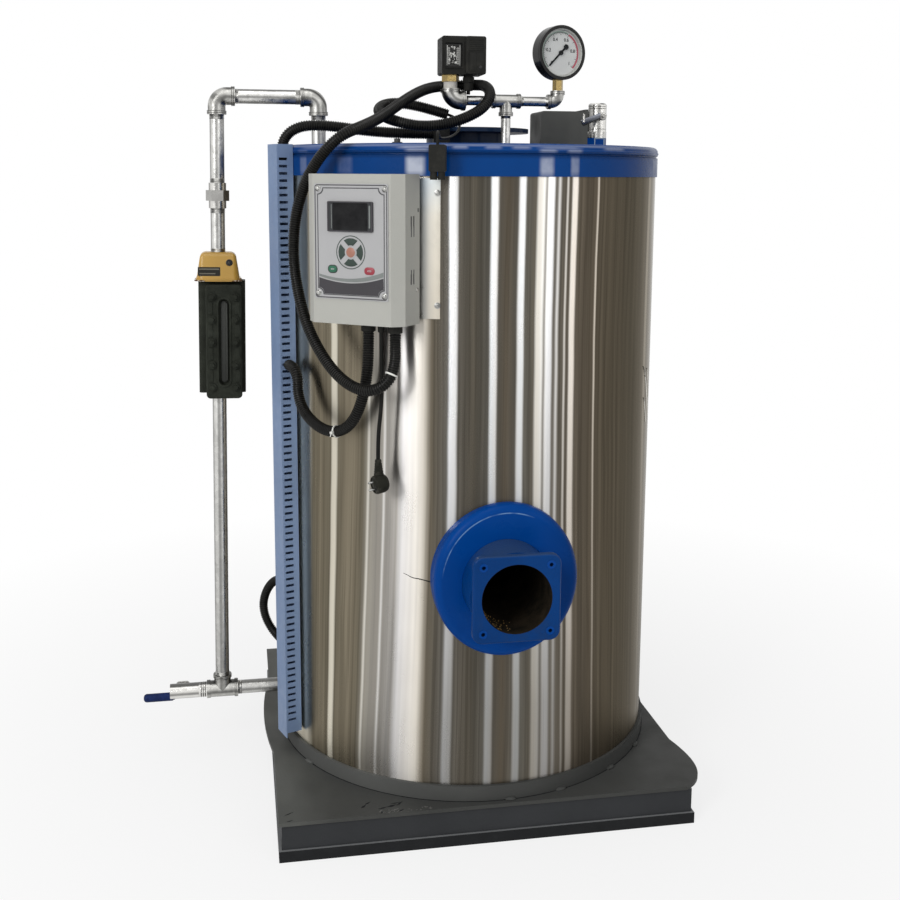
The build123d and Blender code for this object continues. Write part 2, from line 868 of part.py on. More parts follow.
controller_plane = side_plane(controller_azimuth, 0, controller_level)
controller_front = controller_back + controller_depth
half_width = controller_width / 2
panel_level = controller_height - panel_drop
with BuildPart() as controller_box:
    with BuildSketch(Plane(controller_plane.origin, x_dir=controller_plane.x_dir, z_dir=up)):
        with BuildLine():
            Polyline(
                (-half_width, -controller_back),
                (half_width, -controller_back),
                (half_width, -(controller_front - controller_bevel_depth)),
                (half_width - controller_bevel_width, -controller_front),
                (-(half_width - controller_bevel_width), -controller_front),
                (-half_width, -(controller_front - controller_bevel_depth)),
                close=True,
            )
        make_face()
    extrude(amount=controller_height)
    vent_middle = (controller_back + controller_front - controller_bevel_depth) / 2
    vent_face = Plane(
        origin=controller_plane.from_local_coords(
            Vector(half_width, controller_height / 2, vent_middle)
        ),
        x_dir=controller_plane.z_dir * -1,
        z_dir=controller_plane.x_dir,
    )
    with BuildSketch(vent_face):
        with GridLocations(vent_spacing, 2 * vent_rise, 2, 2):
            Rectangle(vent_width, vent_height)
    extrude(amount=-vent_depth, mode=Mode.SUBTRACT)
keep(controller_box, "controller_box")

panel_plane = controller_plane.offset(controller_front)
with BuildPart() as controller_panel:
    with BuildSketch(panel_plane):
        with Locations((0, panel_level - panel_height / 2)):
            RectangleRounded(panel_width, panel_height, key_gap)
    extrude(amount=panel_thickness)
keep(controller_panel, "controller_panel")

panel_face = panel_plane.offset(panel_thickness)
with BuildPart() as controller_screen:
    with BuildSketch(panel_face):
        with Locations((0, panel_level - screen_drop - screen_height / 2)):
            RectangleRounded(screen_width, screen_height, key_gap)
    extrude(amount=screen_thickness)
keep(controller_screen, "controller_screen")

with BuildPart() as controller_keys:
    with BuildSketch(panel_face):
        with Locations((0, panel_level - key_drop)):
            Circle(key_radius)
            Circle(key_centre_radius + key_gap, mode=Mode.SUBTRACT)
            Rectangle(2 * key_radius, key_gap, rotation=45, mode=Mode.SUBTRACT)
            Rectangle(2 * key_radius, key_gap, rotation=-45, mode=Mode.SUBTRACT)
            Circle(key_centre_radius)
        with Locations((0, panel_level - side_key_drop)):
            with GridLocations(2 * side_key_reach, 1, 2, 1):
                SlotOverall(side_key_width, side_key_height)
    extrude(amount=key_thickness)
keep(controller_keys, "controller_keys")

# Wire trunking: a slotted channel with a clip-on cover
trunking_plane = side_plane(trunking_azimuth, trunking_base_radius, trunking_low)
trunking_length = trunking_high - trunking_low
slot_count = int((trunking_length - 2 * slot_end_margin) / slot_pitch)
channel_depth = trunking_depth - trunking_wall
with BuildPart() as trunking_channel:
    with BuildSketch(trunking_plane):
        with Locations((0, trunking_length / 2)):
            Rectangle(trunking_width, trunking_length)
    extrude(amount=channel_depth)
    with BuildSketch(trunking_plane.offset(trunking_wall)):
        with Locations((0, trunking_length / 2)):
            Rectangle(trunking_width - 2 * trunking_wall, trunking_length)
    extrude(amount=channel_depth, mode=Mode.SUBTRACT)
    slot_face = Plane(
        origin=trunking_plane.from_local_coords(
            Vector(0, trunking_length / 2, channel_depth - slot_length / 2 - trunking_wall)
        ),
        x_dir=trunking_plane.z_dir,
        z_dir=trunking_plane.x_dir * -1,
    )
    with BuildSketch(slot_face):
        with GridLocations(1, slot_pitch, 1, slot_count):
            Rectangle(slot_length, slot_height)
    extrude(amount=trunking_width, both=True, mode=Mode.SUBTRACT)
keep(trunking_channel, "trunking_channel")

with BuildPart() as trunking_cover:
    with BuildSketch(trunking_plane.offset(channel_depth)):
        with Locations((0, (trunking_length - trunking_overlap) / 2)):
            Rectangle(trunking_width, trunking_length + trunking_overlap)
    extrude(amount=trunking_wall)
keep(trunking_cover, "trunking_cover")

# Glands where the cords enter the controller's underside, and the entry block on the lid
long_gland = (-190, -364)
duct_gland = (-231, -327)
power_gland = (-212, -351)
deck_gland = (-73, -130)
gland_level = controller_level - gland_height
with BuildPart() as cable_glands:
    with BuildSketch(Plane.XY.offset(gland_level)):
        with Locations(long_gland, duct_gland):
            Circle(gland_radius)
        with Locations(power_gland):
            Circle(cord_gland_radius)
    extrude(amount=gland_height)
    with BuildSketch(Plane.XY.offset(deck)):
        with Locations(deck_gland):
            RectangleRounded(entry_width, entry_width, entry_rounding)
    extrude(amount=entry_height)
keep(cable_glands, "cable_glands")

# Long conduit: from the controller round its left side, over the rim and twice round the switch
long_route = [
    (*long_gland, gland_level),
    (*long_gland, 908),
    (-191, -371, 880),
    (-201, -379, 853),
    (-222, -375, 836),
    (-248, -357, 832),
    (-277, -331, 846),
    (-305, -299, 878),
    (-332, -262, 932),
    (-346, -230, 993),
    (-352, -214, 1060),
    (-346, -224, 1130),
    (-327, -248, 1190),
    (-299, -275, 1234),
    (-268, -285, 1262),
    (-234, -264, 1275),
    (-197, -228, 1292),
    (-158, -192, 1319),
    (-120, -158, 1342),
    (-87, -128, 1354),
    (-48, -111, 1358),
    (-14, -121, 1359),
    (8, -150, 1357),
    (11, -182, 1337),
    (-8, -199, 1312),
    (-42, -205, 1294),
    (-82, -209, 1282),
    (-122, -209, 1279),
    (-157, -202, 1285),
    (-184, -184, 1295),
    (-194, -155, 1308),
    (-181, -130, 1320),
    (-152, -119, 1325),
    (-118, -121, 1320),
    (-87, -126, 1312),
    (-60, -131, 1304),
]
long_conduit = cord("long conduit", long_route, conduit_radius)
keep(long_conduit, "long_conduit")

# Deck conduit: out of the trunking's top, along the lid and into the side of its entry block
deck_entry = deck + entry_height - entry_width / 2
deck_route = [
    (-365.6, -132.3, 1218),
    (-365.6, -132.3, 1246),
    (-353, -135, 1268),
    (-330, -139.5, 1279.5),
    (-300, -142.5, 1281.5),
    (-264, -143, 1279),
    (-216, -139, 1273),
    (-168, -133, 1270),
    (-126, deck_gland[1], deck_entry),
    (deck_gland[0] - entry_width / 2 - fit_gap, deck_gland[1], deck_entry),
]
deck_conduit = cord("deck conduit", deck_route, conduit_radius)
keep(deck_conduit, "deck_conduit")

# Where the trunking's side walls let a conduit and a slack loop out
channel_middle = trunking_base_radius + channel_depth / 2


def trunking_point(sideways):
    """Place across the trunking's channel, measured to the right of its middle."""
    point = side_plane(trunking_azimuth, channel_middle, 0).from_local_coords(Vector(sideways, 0, 0))
    return (point.X, point.Y)


side_face = trunking_width / 2 + fit_gap
duct_exit = trunking_point(side_face)
duct_turn = trunking_point(side_face + exit_run)
loop_exit = trunking_point(-side_face)
loop_turn = trunking_point(-side_face - exit_run)

# Duct conduit: from the trunking's side down in a bow and up into the controller
duct_route = [
    (*duct_exit, 846),
    (*duct_turn, 846),
    (-345, -188, 829),
    (-346, -195, 801),
    (-338, -213, 772),
    (-318, -245, 752),
    (-296, -269, 744),
    (-275, -291, 749),
    (-257, -307, 768),
    (-245, -317, 797),
    (-236, -324, 836),
    (*duct_gland, 884),
    (*duct_gland, gland_level),
]
duct_conduit = cord("duct conduit", duct_route, conduit_radius)
keep(duct_conduit, "duct_conduit")

# Slack loop on the trunking's far side
loop_route = [
    (*loop_exit, 413),
    (*loop_turn, 413),
    (-397, -68, 400),
    (-409, -60, 377),
    (-414, -58, 351),
    (-409, -60, 325),
    (-397, -68, 303),
    (*loop_turn, 290),
    (*loop_exit, 290),
]
slack_loop = cord("slack loop", loop_route, loop_radius)
keep(slack_loop, "slack_loop")

# Power lead with its plug, hanging below the controller
power_route = [
    (*power_gland, gland_level),
    (*power_gland, 890),
    (-211, -352, 842),
    (-213, -350.5, 796),
    (-218, -348, 750),
    (-218, -348, 710),
]
power_lead = cord("power lead", power_route, power_radius)
keep(power_lead, "power_lead")

plug_top = Vector(power_route[-1])
plug_plane = side_plane(
    degrees(atan2(plug_top.X, -plug_top.Y)), (plug_top.X**2 + plug_top.Y**2) ** 0.5, plug_top.Z
)
plug_centre = Vector(plug_shift, -plug_neck - plug_shoulder, 0)
plug_facing = plug_plane.x_dir * -cos(radians(plug_turn)) + plug_plane.z_dir * sin(radians(plug_turn))
plug_heart = plug_plane.from_local_coords(plug_centre)
plug_face = Plane(origin=plug_heart + plug_facing * (plug_depth / 2), x_dir=up, z_dir=plug_facing)
with BuildPart() as power_plug:
    with BuildSketch(Plane(origin=plug_top, z_dir=down)):
        Circle(plug_neck_radius)
    extrude(amount=plug_neck)
    with BuildSketch(Plane(origin=plug_top + down * plug_neck, x_dir=plug_plane.x_dir, z_dir=down)):
        Circle(plug_neck_radius)
    with BuildSketch(Plane(origin=plug_heart, x_dir=plug_plane.x_dir, z_dir=down)):
        RectangleRounded(plug_shoulder_width, plug_shoulder_depth, plug_rounding)
    loft()
    with BuildSketch(plug_face):
        Circle(plug_radius)
    extrude(amount=-plug_depth)
    fillet(edges().filter_by(GeomType.CIRCLE).sort_by(SortBy.RADIUS)[-2:], plug_rounding)
    with BuildSketch(plug_face):
        with PolarLocations(pin_spacing, 3):
            Rectangle(pin_width, pin_thickness)
    extrude(amount=pin_length)
keep(power_plug, "power_plug")

# Sensor lead from the long conduit's end over the rim, and the connector that hangs on it
lead_route = [
    (-60, -131, 1304),
    (-48, -133, 1300),
    (-41, -142, 1291),
    (-43, -159, 1278),
    (-54, -183, 1267),
    (-71, -212, 1260),
    (-88, -248, 1257),
    (-102, -290, 1256),
    (-111.5, -330, 1259),
    (-117, -357, 1264),
    (-120.5, -374, 1264),
    (-122.5, -386, 1256),
    (-122.5, -386, 1243),
]
sensor_lead = cord("sensor lead", lead_route, lead_radius)
keep(sensor_lead, "sensor_lead")

connector_top = Vector(lead_route[-1])
connector_plane = side_plane(
    degrees(atan2(connector_top.X, -connector_top.Y)),
    (connector_top.X**2 + connector_top.Y**2) ** 0.5,
    connector_top.Z,
)
connector_middle = connector_plane.from_local_coords(Vector(0, -connector_height / 2, 0))
with BuildPart() as connector:
    with BuildSketch(Plane(connector_middle, x_dir=connector_plane.x_dir, z_dir=connector_plane.z_dir)):
        RectangleRounded(connector_width, connector_height, connector_rounding)
    extrude(amount=connector_depth / 2, both=True)
    stub_plane = Plane(
        origin=connector_top + down * connector_height, x_dir=connector_plane.x_dir, z_dir=down
    )
    with BuildSketch(stub_plane):
        with GridLocations(connector_stub_spacing, 1, 2, 1):
            Circle(connector_stub_radius)
    extrude(amount=connector_stub)
keep(connector, "connector")
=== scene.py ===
"""Looks of the vertical steam boiler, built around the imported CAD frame. Shapes are given in millimetres."""

import math
import random

import bmesh
import bpy
from mathutils import Matrix, Vector

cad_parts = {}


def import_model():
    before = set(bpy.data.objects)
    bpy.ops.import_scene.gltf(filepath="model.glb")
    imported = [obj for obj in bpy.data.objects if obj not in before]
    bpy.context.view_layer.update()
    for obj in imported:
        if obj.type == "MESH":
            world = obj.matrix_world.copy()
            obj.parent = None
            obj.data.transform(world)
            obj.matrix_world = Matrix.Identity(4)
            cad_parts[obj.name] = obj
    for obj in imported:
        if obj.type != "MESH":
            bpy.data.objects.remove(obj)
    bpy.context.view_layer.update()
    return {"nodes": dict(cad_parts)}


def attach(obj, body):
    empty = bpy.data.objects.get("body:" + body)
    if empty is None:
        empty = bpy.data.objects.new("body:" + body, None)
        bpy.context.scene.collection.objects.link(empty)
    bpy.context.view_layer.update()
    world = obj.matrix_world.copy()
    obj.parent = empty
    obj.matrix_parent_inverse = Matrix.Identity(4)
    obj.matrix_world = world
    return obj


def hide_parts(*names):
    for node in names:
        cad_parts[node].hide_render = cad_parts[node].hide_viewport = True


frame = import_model()
nodes = frame["nodes"]
random.seed(7)
MM = 0.001
IN_METRES = Matrix.Scale(MM, 4)
RIGHT, BACK, UP = Vector((1, 0, 0)), Vector((0, 1, 0)), Vector((0, 0, 1))
# Half of the jacket's front that carries painted bands, and the height in metres that levels are parts of
FRONT = math.radians(75)
TOP = 1.25
BURNER_HEIGHT = 0.492


# Materials

def scaled(color, factor):
    return tuple(min(1.0, c * factor) for c in color)


class Look:
    """A node material that is built up step by step."""

    def __init__(self, name, color, rough=0.5, metal=0.0):
        self.mat = bpy.data.materials.new(name)
        self.mat.use_nodes = True
        self.tree = self.mat.node_tree
        self.shader = self.tree.nodes["Principled BSDF"]
        self.color = color
        self.set("Base Color", (*color, 1))
        self.set("Roughness", rough)
        self.set("Metallic", metal)
        if metal == 0 and max(color) < 0.3:
            self.set("Specular IOR Level", 0.06)
        coords = self.node("TexCoord")
        self.place, self.normal = coords.outputs["Object"], coords.outputs["Normal"]

    def set(self, socket, value):
        self.shader.inputs[socket].default_value = value

    def node(self, kind, **props):
        made = self.tree.nodes.new("ShaderNode" + kind)
        for key, value in props.items():
            setattr(made, key, value)
        return made

    def link(self, source, target):
        self.tree.links.new(source, target)

    def feed(self, source, socket):
        self.link(source, self.shader.inputs[socket])

    def fill(self, made, *values):
        """Give a node's inputs their numbers, colours or links, and return its output."""
        for socket, value in zip(made.inputs, values):
            if isinstance(value, (int, float)):
                socket.default_value = value
            elif isinstance(value, tuple):
                socket.default_value = (*value, 1)
            elif value is not None:
                self.link(value, socket)
        return made.outputs[0]

    def math(self, kind, first, second=None):
        return self.fill(self.node("Math", operation=kind), first, second)

    def add(self, first, second):
        return self.math("ADD", first, second)

    def times(self, first, second):
        return self.math("MULTIPLY", first, second)

    def most(self, first, second):
        return self.math("MAXIMUM", first, second)

    def reach(self, first, second):
        """Distance from an axis."""
        return self.math("SQRT", self.add(self.math("POWER", first, 2.0), self.math("POWER", second, 2.0)))

    def mix(self, factor, first, second, kind="MIX"):
        return self.fill(self.node("MixRGB", blend_type=kind), factor, first, second)

    def shaded(self, tone, shade):
        return self.mix(1.0, tone, shade, "MULTIPLY")

    def noise(self, scale, detail=4.0, rough=0.55, stretch=None, source=None):
        made = self.node("TexNoise")
        for socket, value in (("Scale", scale), ("Detail", detail), ("Roughness", rough)):
            made.inputs[socket].default_value = value
        source = self.place if source is None else source
        if stretch:
            mapping = self.node("Mapping")
            mapping.inputs["Scale"].default_value = stretch
            self.link(source, mapping.inputs["Vector"])
            source = mapping.outputs["Vector"]
        self.link(source, made.inputs["Vector"])
        return made.outputs["Fac"]

    def ramp(self, source, stops):
        made = self.node("ValToRGB")
        band = made.color_ramp
        while len(band.elements) < len(stops):
            band.elements.new(1.0)
        for element, (at, tone) in zip(band.elements, sorted(stops, key=lambda s: s[0])):
            element.position = at
            element.color = (*tone, 1) if isinstance(tone, tuple) else (tone, tone, tone, 1)
        return self.fill(made, source)

    def axes(self, source=None):
        split = self.node("SeparateXYZ")
        self.link(self.place if source is None else source, split.inputs["Vector"])
        return split.outputs

    def upward(self):
        """How far a face is turned up: 1 for level faces, -1 for undersides."""
        return self.axes(self.normal)[2]

    def bearing(self):
        """Angle round the boiler, in radians from the burner, and the height."""
        axis = self.axes()
        return self.math("ARCTAN2", axis[0], self.times(axis[1], -1.0)), axis[2]

    def along(self, turn, stops):
        """Tone by the angle round the boiler's front, stops given in degrees."""
        place = self.math("DIVIDE", self.add(turn, FRONT), 2 * FRONT)
        reach = math.degrees(FRONT)
        return self.ramp(place, [((at + reach) / (2 * reach), tone) for at, tone in stops])

    def streaks(self, turn, left, right):
        """Soft upright bands left and right of the burner, for painted reflections and highlights: angle in
        degrees, half width and strength.
        """
        sides = []
        for low, bands in ((-FRONT, left), (0.0, right)):
            stops = [(0.0, 0.0), (1.0, 0.0)]
            for at, half, level in bands:
                middle, reach = (math.radians(at) - low) / FRONT, math.radians(half) / FRONT
                crest = (-0.55 * reach, 0.55 * reach) if half > 1 else (0.0,)
                stops += [(middle - reach, 0.0), *((middle + c, level) for c in crest), (middle + reach, 0.0)]
            sides.append(self.ramp(self.math("DIVIDE", self.math("SUBTRACT", turn, low), FRONT), stops))
        return self.add(*sides)

    def bump(self, height, depth):
        made = self.node("Bump")
        made.inputs["Distance"].default_value = depth
        made.inputs["Strength"].default_value = 1.0
        self.link(height, made.inputs["Height"])
        self.feed(made.outputs["Normal"], "Normal")

    def cloud(self, low, high, noise=(5.5, 6)):
        """The look's colour, drifting slowly between two strengths."""
        stops = [(0.3, scaled(self.color, low)), (0.7, scaled(self.color, high))]
        return self.ramp(self.noise(*noise), stops)

    def scuffed(self, tone, level, gain=2.2):
        """Small paler scuffs."""
        scuff = self.ramp(self.noise(38, 8, 0.75), [(0.66, 0.0), (0.74, level)])
        return self.mix(scuff, tone, scaled(self.color, gain))

    def finish(self, tone, rough, skin=(420, 3), depth=0.0001, grain=(24, 6), stop=0.7):
        """Colour, roughness between two levels, and the bump of the skin."""
        self.feed(tone, "Base Color")
        self.feed(self.ramp(self.noise(*grain), [(0.3, rough[0]), (stop, rough[1])]), "Roughness")
        self.bump(self.noise(*skin), depth)
        return self.mat


def painted(name, color, rough=0.4, coat=0.0, drift=0.18, peel=0.00012, scuff=0.0, dust=0.0):
    """Paint with slow colour drift, orange peel, scuffs and dust."""
    look = Look(name, color, rough)
    look.set("Coat Weight", coat)
    look.set("Coat Roughness", 0.12)
    tone = look.cloud(1 - drift, 1 + drift)
    if scuff:
        tone = look.scuffed(tone, scuff)
    if dust:
        grime = look.ramp(look.noise(11, 7, 0.65), [(0.42, 0.0), (0.75, dust)])
        tone = look.mix(grime, tone, (0.30, 0.27, 0.22))
    return look.finish(tone, (max(0.05, rough - 0.08), rough + 0.12), depth=peel)


def cast(name, color, rough, metal, grain, scale):
    """Rough casting with a pitted skin."""
    look = Look(name, color, rough, metal)
    stops = [(0.3, scaled(color, 0.6)), (0.55, color), (0.8, scaled(color, 1.7))]
    tone = look.ramp(look.noise(34, 7, 0.7), stops)
    pits = (scale, 6, 0.7)
    return look.finish(tone, (rough - 0.12, rough + 0.15), pits, grain, pits)


# Painted reflections: bright and dark streaks of plated metal, by the way a face is turned
PAINTED_SHEEN = [
    (0.0, 0.10), (0.08, 0.10), (0.15, 0.45), (0.21, 0.98), (0.34, 1.0), (0.40, 0.50), (0.46, 0.34),
    (0.53, 0.58), (0.59, 1.0), (0.78, 1.0), (0.83, 0.50), (0.88, 0.12), (0.95, 0.14), (1.0, 0.55),
]


def zinc(name, color=(0.72, 0.715, 0.69), rough=0.3, blotch=0.35, spangle=0.15, streak=0.95, low_darkening=0.0):
    """Plated metal: zinc spangle, painted reflection streaks by the way a face is turned, dull patches, and
    for some pieces darker towards the bottom.
    """
    look = Look(name, color, rough, 1.0)
    flake = look.node("TexVoronoi")
    flake.inputs["Scale"].default_value = 120
    look.link(look.place, flake.inputs["Vector"])
    grain = look.ramp(flake.outputs["Color"],
                      [(0.0, scaled(color, 1 - 1.2 * spangle)), (1.0, scaled(color, 1 + 0.8 * spangle))])
    dull = look.ramp(look.noise(18, 7, 0.7), [(0.45, 0.0), (0.72, blotch)])
    tone = look.mix(dull, grain, scaled(color, 0.45))
    # Painted reflections: faces turned left or down come low in the painted sheen, faces turned right or up
    # come high
    facing = look.axes(look.normal)
    lean = look.add(look.times(facing[0], 0.40), look.times(facing[2], 0.45))
    tone = look.mix(streak, tone, look.ramp(look.add(lean, 0.5), PAINTED_SHEEN), "MULTIPLY")
    # Darker towards the bottom
    if low_darkening:
        tone = look.mix(look.ramp(look.axes()[2], [(0.25, low_darkening), (0.85, 0.0)]), tone, scaled(color, 0.35))
    return look.finish(tone, (rough - 0.1, rough + 0.18), (300, 4), 0.0002, (60, 5), 0.75)


def moulded(name, color, rough=0.45, grain=0.00008, drift=0.12, dust=0.0):
    """Moulded plastic or rubber with a fine texture."""
    look = Look(name, color, rough)
    tone = look.cloud(1 - drift, 1 + drift, (9, 5))
    if dust:
        grime = look.ramp(look.noise(45, 6, 0.7), [(0.5, 0.0), (0.8, dust)])
        tone = look.mix(grime, tone, (0.25, 0.23, 0.19))
    return look.finish(tone, (rough - 0.06, rough + 0.1), (900, 2), grain, (80, 4))


# Painted reflections: bright bands painted on the polished jacket, by angle round the boiler in degrees, half
# width, strength
REFLECTION_BANDS_LEFT = [
    (-68.0, 7.6, 0.80), (-51.3, 1.4, 0.72), (-39.3, 0.8, 0.78), (-34.3, 0.8, 0.74), (-25.8, 5.2, 0.50),
    (-14.7, 1.5, 0.92), (-3.6, 1.3, 0.86),
]
REFLECTION_BANDS_RIGHT = [
    (4.0, 1.2, 0.88), (9.5, 1.5, 0.94), (12.4, 1.4, 0.92), (15.0, 0.7, 0.90), (17.6, 0.5, 0.85),
    (20.0, 1.2, 0.95), (28.5, 0.5, 0.85), (58.0, 1.5, 0.22),
]
# Soft pale painted reflection on the steel left of the widest band
REFLECTION_HAZE = [(-41.0, 0.0), (-39.5, 0.19), (-31.0, 0.19), (-29.5, 0.0)]
# How dark the steel is painted between its bands, as painted reflection of dark surroundings, and the painted
# tint of bands and steel, by angle in degrees
REFLECTION_DEPTH = [
    (-75, 0.66), (-64, 0.95), (-55, 1.0), (-31, 1.0), (-20, 0.62), (-8, 0.53), (3, 0.63), (14, 0.60),
    (30, 0.49), (45, 0.37), (58, 0.37), (66, 0.33), (70, 0.30), (75, 0.66),
]
REFLECTION_TINT = [
    (-75, (1.0, 0.96, 0.88)), (-68, (1.0, 0.94, 0.78)), (-42, (1.0, 0.95, 0.81)), (-38, (1.0, 0.98, 0.92)),
    (-29, (0.98, 0.98, 1.0)), (-24, (1.0, 0.965, 0.90)), (-21, (1.0, 0.93, 0.80)), (-16, (0.95, 0.97, 1.0)),
    (-9, (1.0, 0.96, 0.88)), (-4, (0.95, 0.98, 1.0)), (0, (1.0, 0.90, 0.78)), (4, (0.95, 0.98, 1.0)),
    (9, (1.0, 0.96, 0.87)), (12.5, (0.97, 0.98, 1.0)), (17, (1.0, 0.96, 0.89)), (23, (1.0, 0.90, 0.79)),
    (34, (1.0, 0.91, 0.76)), (55, (1.0, 0.93, 0.80)), (69, (1.0, 0.94, 0.83)), (75, (1.0, 0.96, 0.88)),
]
# How the front's painted reflection bands draw together and fade with height
GATHER = [
    (0.104, 0.437), (0.2, 0.4575), (0.4, 0.5), (0.52, 0.525), (0.632, 0.542), (0.728, 0.55), (0.84, 0.545),
    (0.936, 0.53),
]
FADE = [(0.08, 0.27), (0.20, 0.30), (0.304, 0.42), (0.528, 0.68), (0.64, 0.83), (0.80, 1.0)]


def stainless(name):
    """Polished stainless sheet rolled and brushed round the boiler: upright bands of painted reflection with
    fine upright lines, the steel between them painted dark as reflection of dark surroundings.
    """
    look = Look(name, (0.5, 0.48, 0.45), 0.34, 1.0)
    look.set("Anisotropic", 1.0)
    look.set("Anisotropic Rotation", 0.25)
    look.set("Specular Tint", (0.76, 0.73, 0.68, 1))
    look.feed(look.node("Tangent", direction_type="RADIAL", axis="Z").outputs["Tangent"], "Tangent")
    angle, height = look.bearing()
    level = look.math("DIVIDE", height, TOP)
    aside = look.math("DIVIDE", look.math("ABSOLUTE", angle), math.pi)
    bend = look.math("SUBTRACT", look.ramp(level, GATHER), 0.5)
    bend = look.times(bend, look.ramp(aside, [(0.22, 1.0), (0.45, 0.0)]))
    wander = look.times(look.math("SUBTRACT", look.noise(2.2, 2), 0.5), math.radians(1.6))
    turn = look.add(look.times(angle, look.add(bend, 1.0)), wander)
    steady = look.along(turn, [(-20.5, 1.0), (-19.0, 0.0)])
    # Painted reflections: bright upright bands on the front, fading with height, and a pale painted haze
    front = look.times(look.streaks(turn, REFLECTION_BANDS_LEFT, REFLECTION_BANDS_RIGHT), look.most(look.ramp(level, FADE), steady))
    front = look.most(front, look.along(turn, REFLECTION_HAZE))
    # Fine upright lines all round, from noise that changes with the angle only
    ring = look.node("CombineXYZ")
    look.link(turn, ring.inputs["X"])
    look.link(look.times(height, 0.03), ring.inputs["Z"])

    def lines(scale, detail):
        return look.noise(scale, detail, 0.5, source=ring.outputs["Vector"])

    fine = lines(34.0, 5.0)
    # Dark painted reflection between the bands, with fine brushed lines
    dark = look.ramp(lines(6.0, 3.0), [(0.30, (0.125, 0.117, 0.101)), (0.45, (0.165, 0.152, 0.129)),
                                       (0.58, (0.195, 0.176, 0.149)), (0.72, (0.225, 0.206, 0.176))])
    dark = look.mix(look.ramp(fine, [(0.44, 0.0), (0.64, 0.40)]), dark, (0.30, 0.275, 0.235))
    dark = look.mix(look.ramp(lines(70.0, 2.0), [(0.50, 0.0), (0.60, 0.35)]), dark, (0.075, 0.068, 0.056))
    dark = look.shaded(dark, look.along(turn, REFLECTION_DEPTH))
    # Pale painted reflection streaks round the back
    rear_reflection_streaks = look.ramp(lines(9.0, 1.0), [(0.52, 0.0), (0.62, 0.60)])
    painted_reflection = look.most(front, look.times(rear_reflection_streaks, look.ramp(aside, [(0.38, 0.0), (0.44, 1.0)])))
    # Pale colour of the painted reflection bands
    pale = look.ramp(fine, [(0.3, (0.84, 0.83, 0.82)), (0.6, (0.93, 0.925, 0.92))])
    tone = look.shaded(look.mix(painted_reflection, dark, pale), look.along(turn, REFLECTION_TINT))
    return look.finish(tone, (0.25, 0.32), (900, 2, 0.5, (1, 1, 0.01)), 0.00002, (7, 7, 0.7, (1, 1, 0.35)))


# Painted highlights: pale blocks on the lid's band, pale stretches of its bead and thin lines beside the bead
LID_HIGHLIGHTS_LEFT = [(-62, 2.0, 0.18), (-45, 3.0, 0.14), (-24.2, 3.0, 0.85)]
LID_HIGHLIGHTS_RIGHT = [(10.5, 2.4, 0.68), (18.9, 1.6, 0.50), (60.0, 2.5, 0.30)]
BEAD_HIGHLIGHTS_LEFT = [(-62, 3.0, 0.2), (-23.6, 3.8, 0.85)]
BEAD_HIGHLIGHTS_RIGHT = [(10.8, 3.0, 0.85), (18.7, 2.8, 0.75), (60.0, 2.5, 0.3)]
HIGHLIGHT_LINES_LEFT = [(-55, 9.0, 0.25), (-23.6, 6.0, 0.6), (-12.5, 2.4, 0.6), (-4.0, 2.6, 0.5)]
HIGHLIGHT_LINES_RIGHT = [(3.4, 3.0, 0.5), (14.5, 7.5, 0.45), (33.0, 5.0, 0.6), (58.0, 6.0, 0.35)]
# Heights at which the painted highlight blocks, bead and lines, the groove painted darker as shade and the
# rim's painted highlight lie
BLOCK_LEVELS = [(0.954, 0.3), (0.960, 1.0), (0.978, 1.0), (0.981, 0.0)]
BEAD_LEVELS = [(0.9852, 0.0), (0.9862, 1.0), (0.9880, 0.35), (0.9892, 0.9), (0.9905, 0.0)]
LINE_LEVELS = [(0.9782, 0.0), (0.9790, 0.8), (0.9798, 0.0), (0.9908, 0.0), (0.9918, 1.0), (0.9928, 0.0)]
GROOVE_SHADE_LEVELS = [(0.9795, 0.0), (0.981, 0.75), (0.984, 0.75), (0.9855, 0.0)]
RIM_HIGHLIGHT_LEVELS = [(0.9945, 0.0), (0.9960, 0.45)]
LID_BLUE = (0.0010, 0.050, 0.225)
ROSETTE_BLUE = (0.0005, 0.054, 0.275)


def lid_paint(name):
    """Glossy blue of the lid, painted darker towards its sides as shade, with painted highlights on its band,
    bead, thin lines and top rim, and a groove painted darker as shade.
    """
    look = Look(name, LID_BLUE, 0.30)
    look.set("Coat Weight", 0.08)
    look.set("Coat Roughness", 0.12)
    angle, height = look.bearing()
    level = look.math("DIVIDE", height, TOP)
    # Painted shade: darker towards the left and right sides
    sides = look.along(angle, [(-75, 0.80), (-40, 0.95), (0, 1.0), (30, 0.92), (60, 0.70)])
    paint = look.shaded(look.cloud(0.86, 1.12), sides)
    # Painted highlights: pale blocks, bead stretches, thin lines and the top rim
    highlight_blocks = look.times(look.streaks(angle, LID_HIGHLIGHTS_LEFT, LID_HIGHLIGHTS_RIGHT), look.ramp(level, BLOCK_LEVELS))
    highlight_blocks = look.times(highlight_blocks, look.ramp(look.noise(16, 4), [(0.32, 0.45), (0.58, 1.0)]))
    bead = look.times(look.streaks(angle, BEAD_HIGHLIGHTS_LEFT, BEAD_HIGHLIGHTS_RIGHT), look.ramp(level, BEAD_LEVELS))
    lines = look.times(look.streaks(angle, HIGHLIGHT_LINES_LEFT, HIGHLIGHT_LINES_RIGHT), look.ramp(level, LINE_LEVELS))
    rim = look.times(look.ramp(level, RIM_HIGHLIGHT_LEVELS), look.ramp(look.upward(), [(0.55, 1.0), (0.85, 0.0)]))
    pale = look.most(highlight_blocks, look.most(look.most(bead, lines), rim))
    # Painted shade in the groove under the bead
    paint = look.mix(look.ramp(level, GROOVE_SHADE_LEVELS), paint, scaled(LID_BLUE, 0.3))
    return look.finish(look.mix(pale, paint, (0.62, 0.66, 0.76)), (0.22, 0.42))


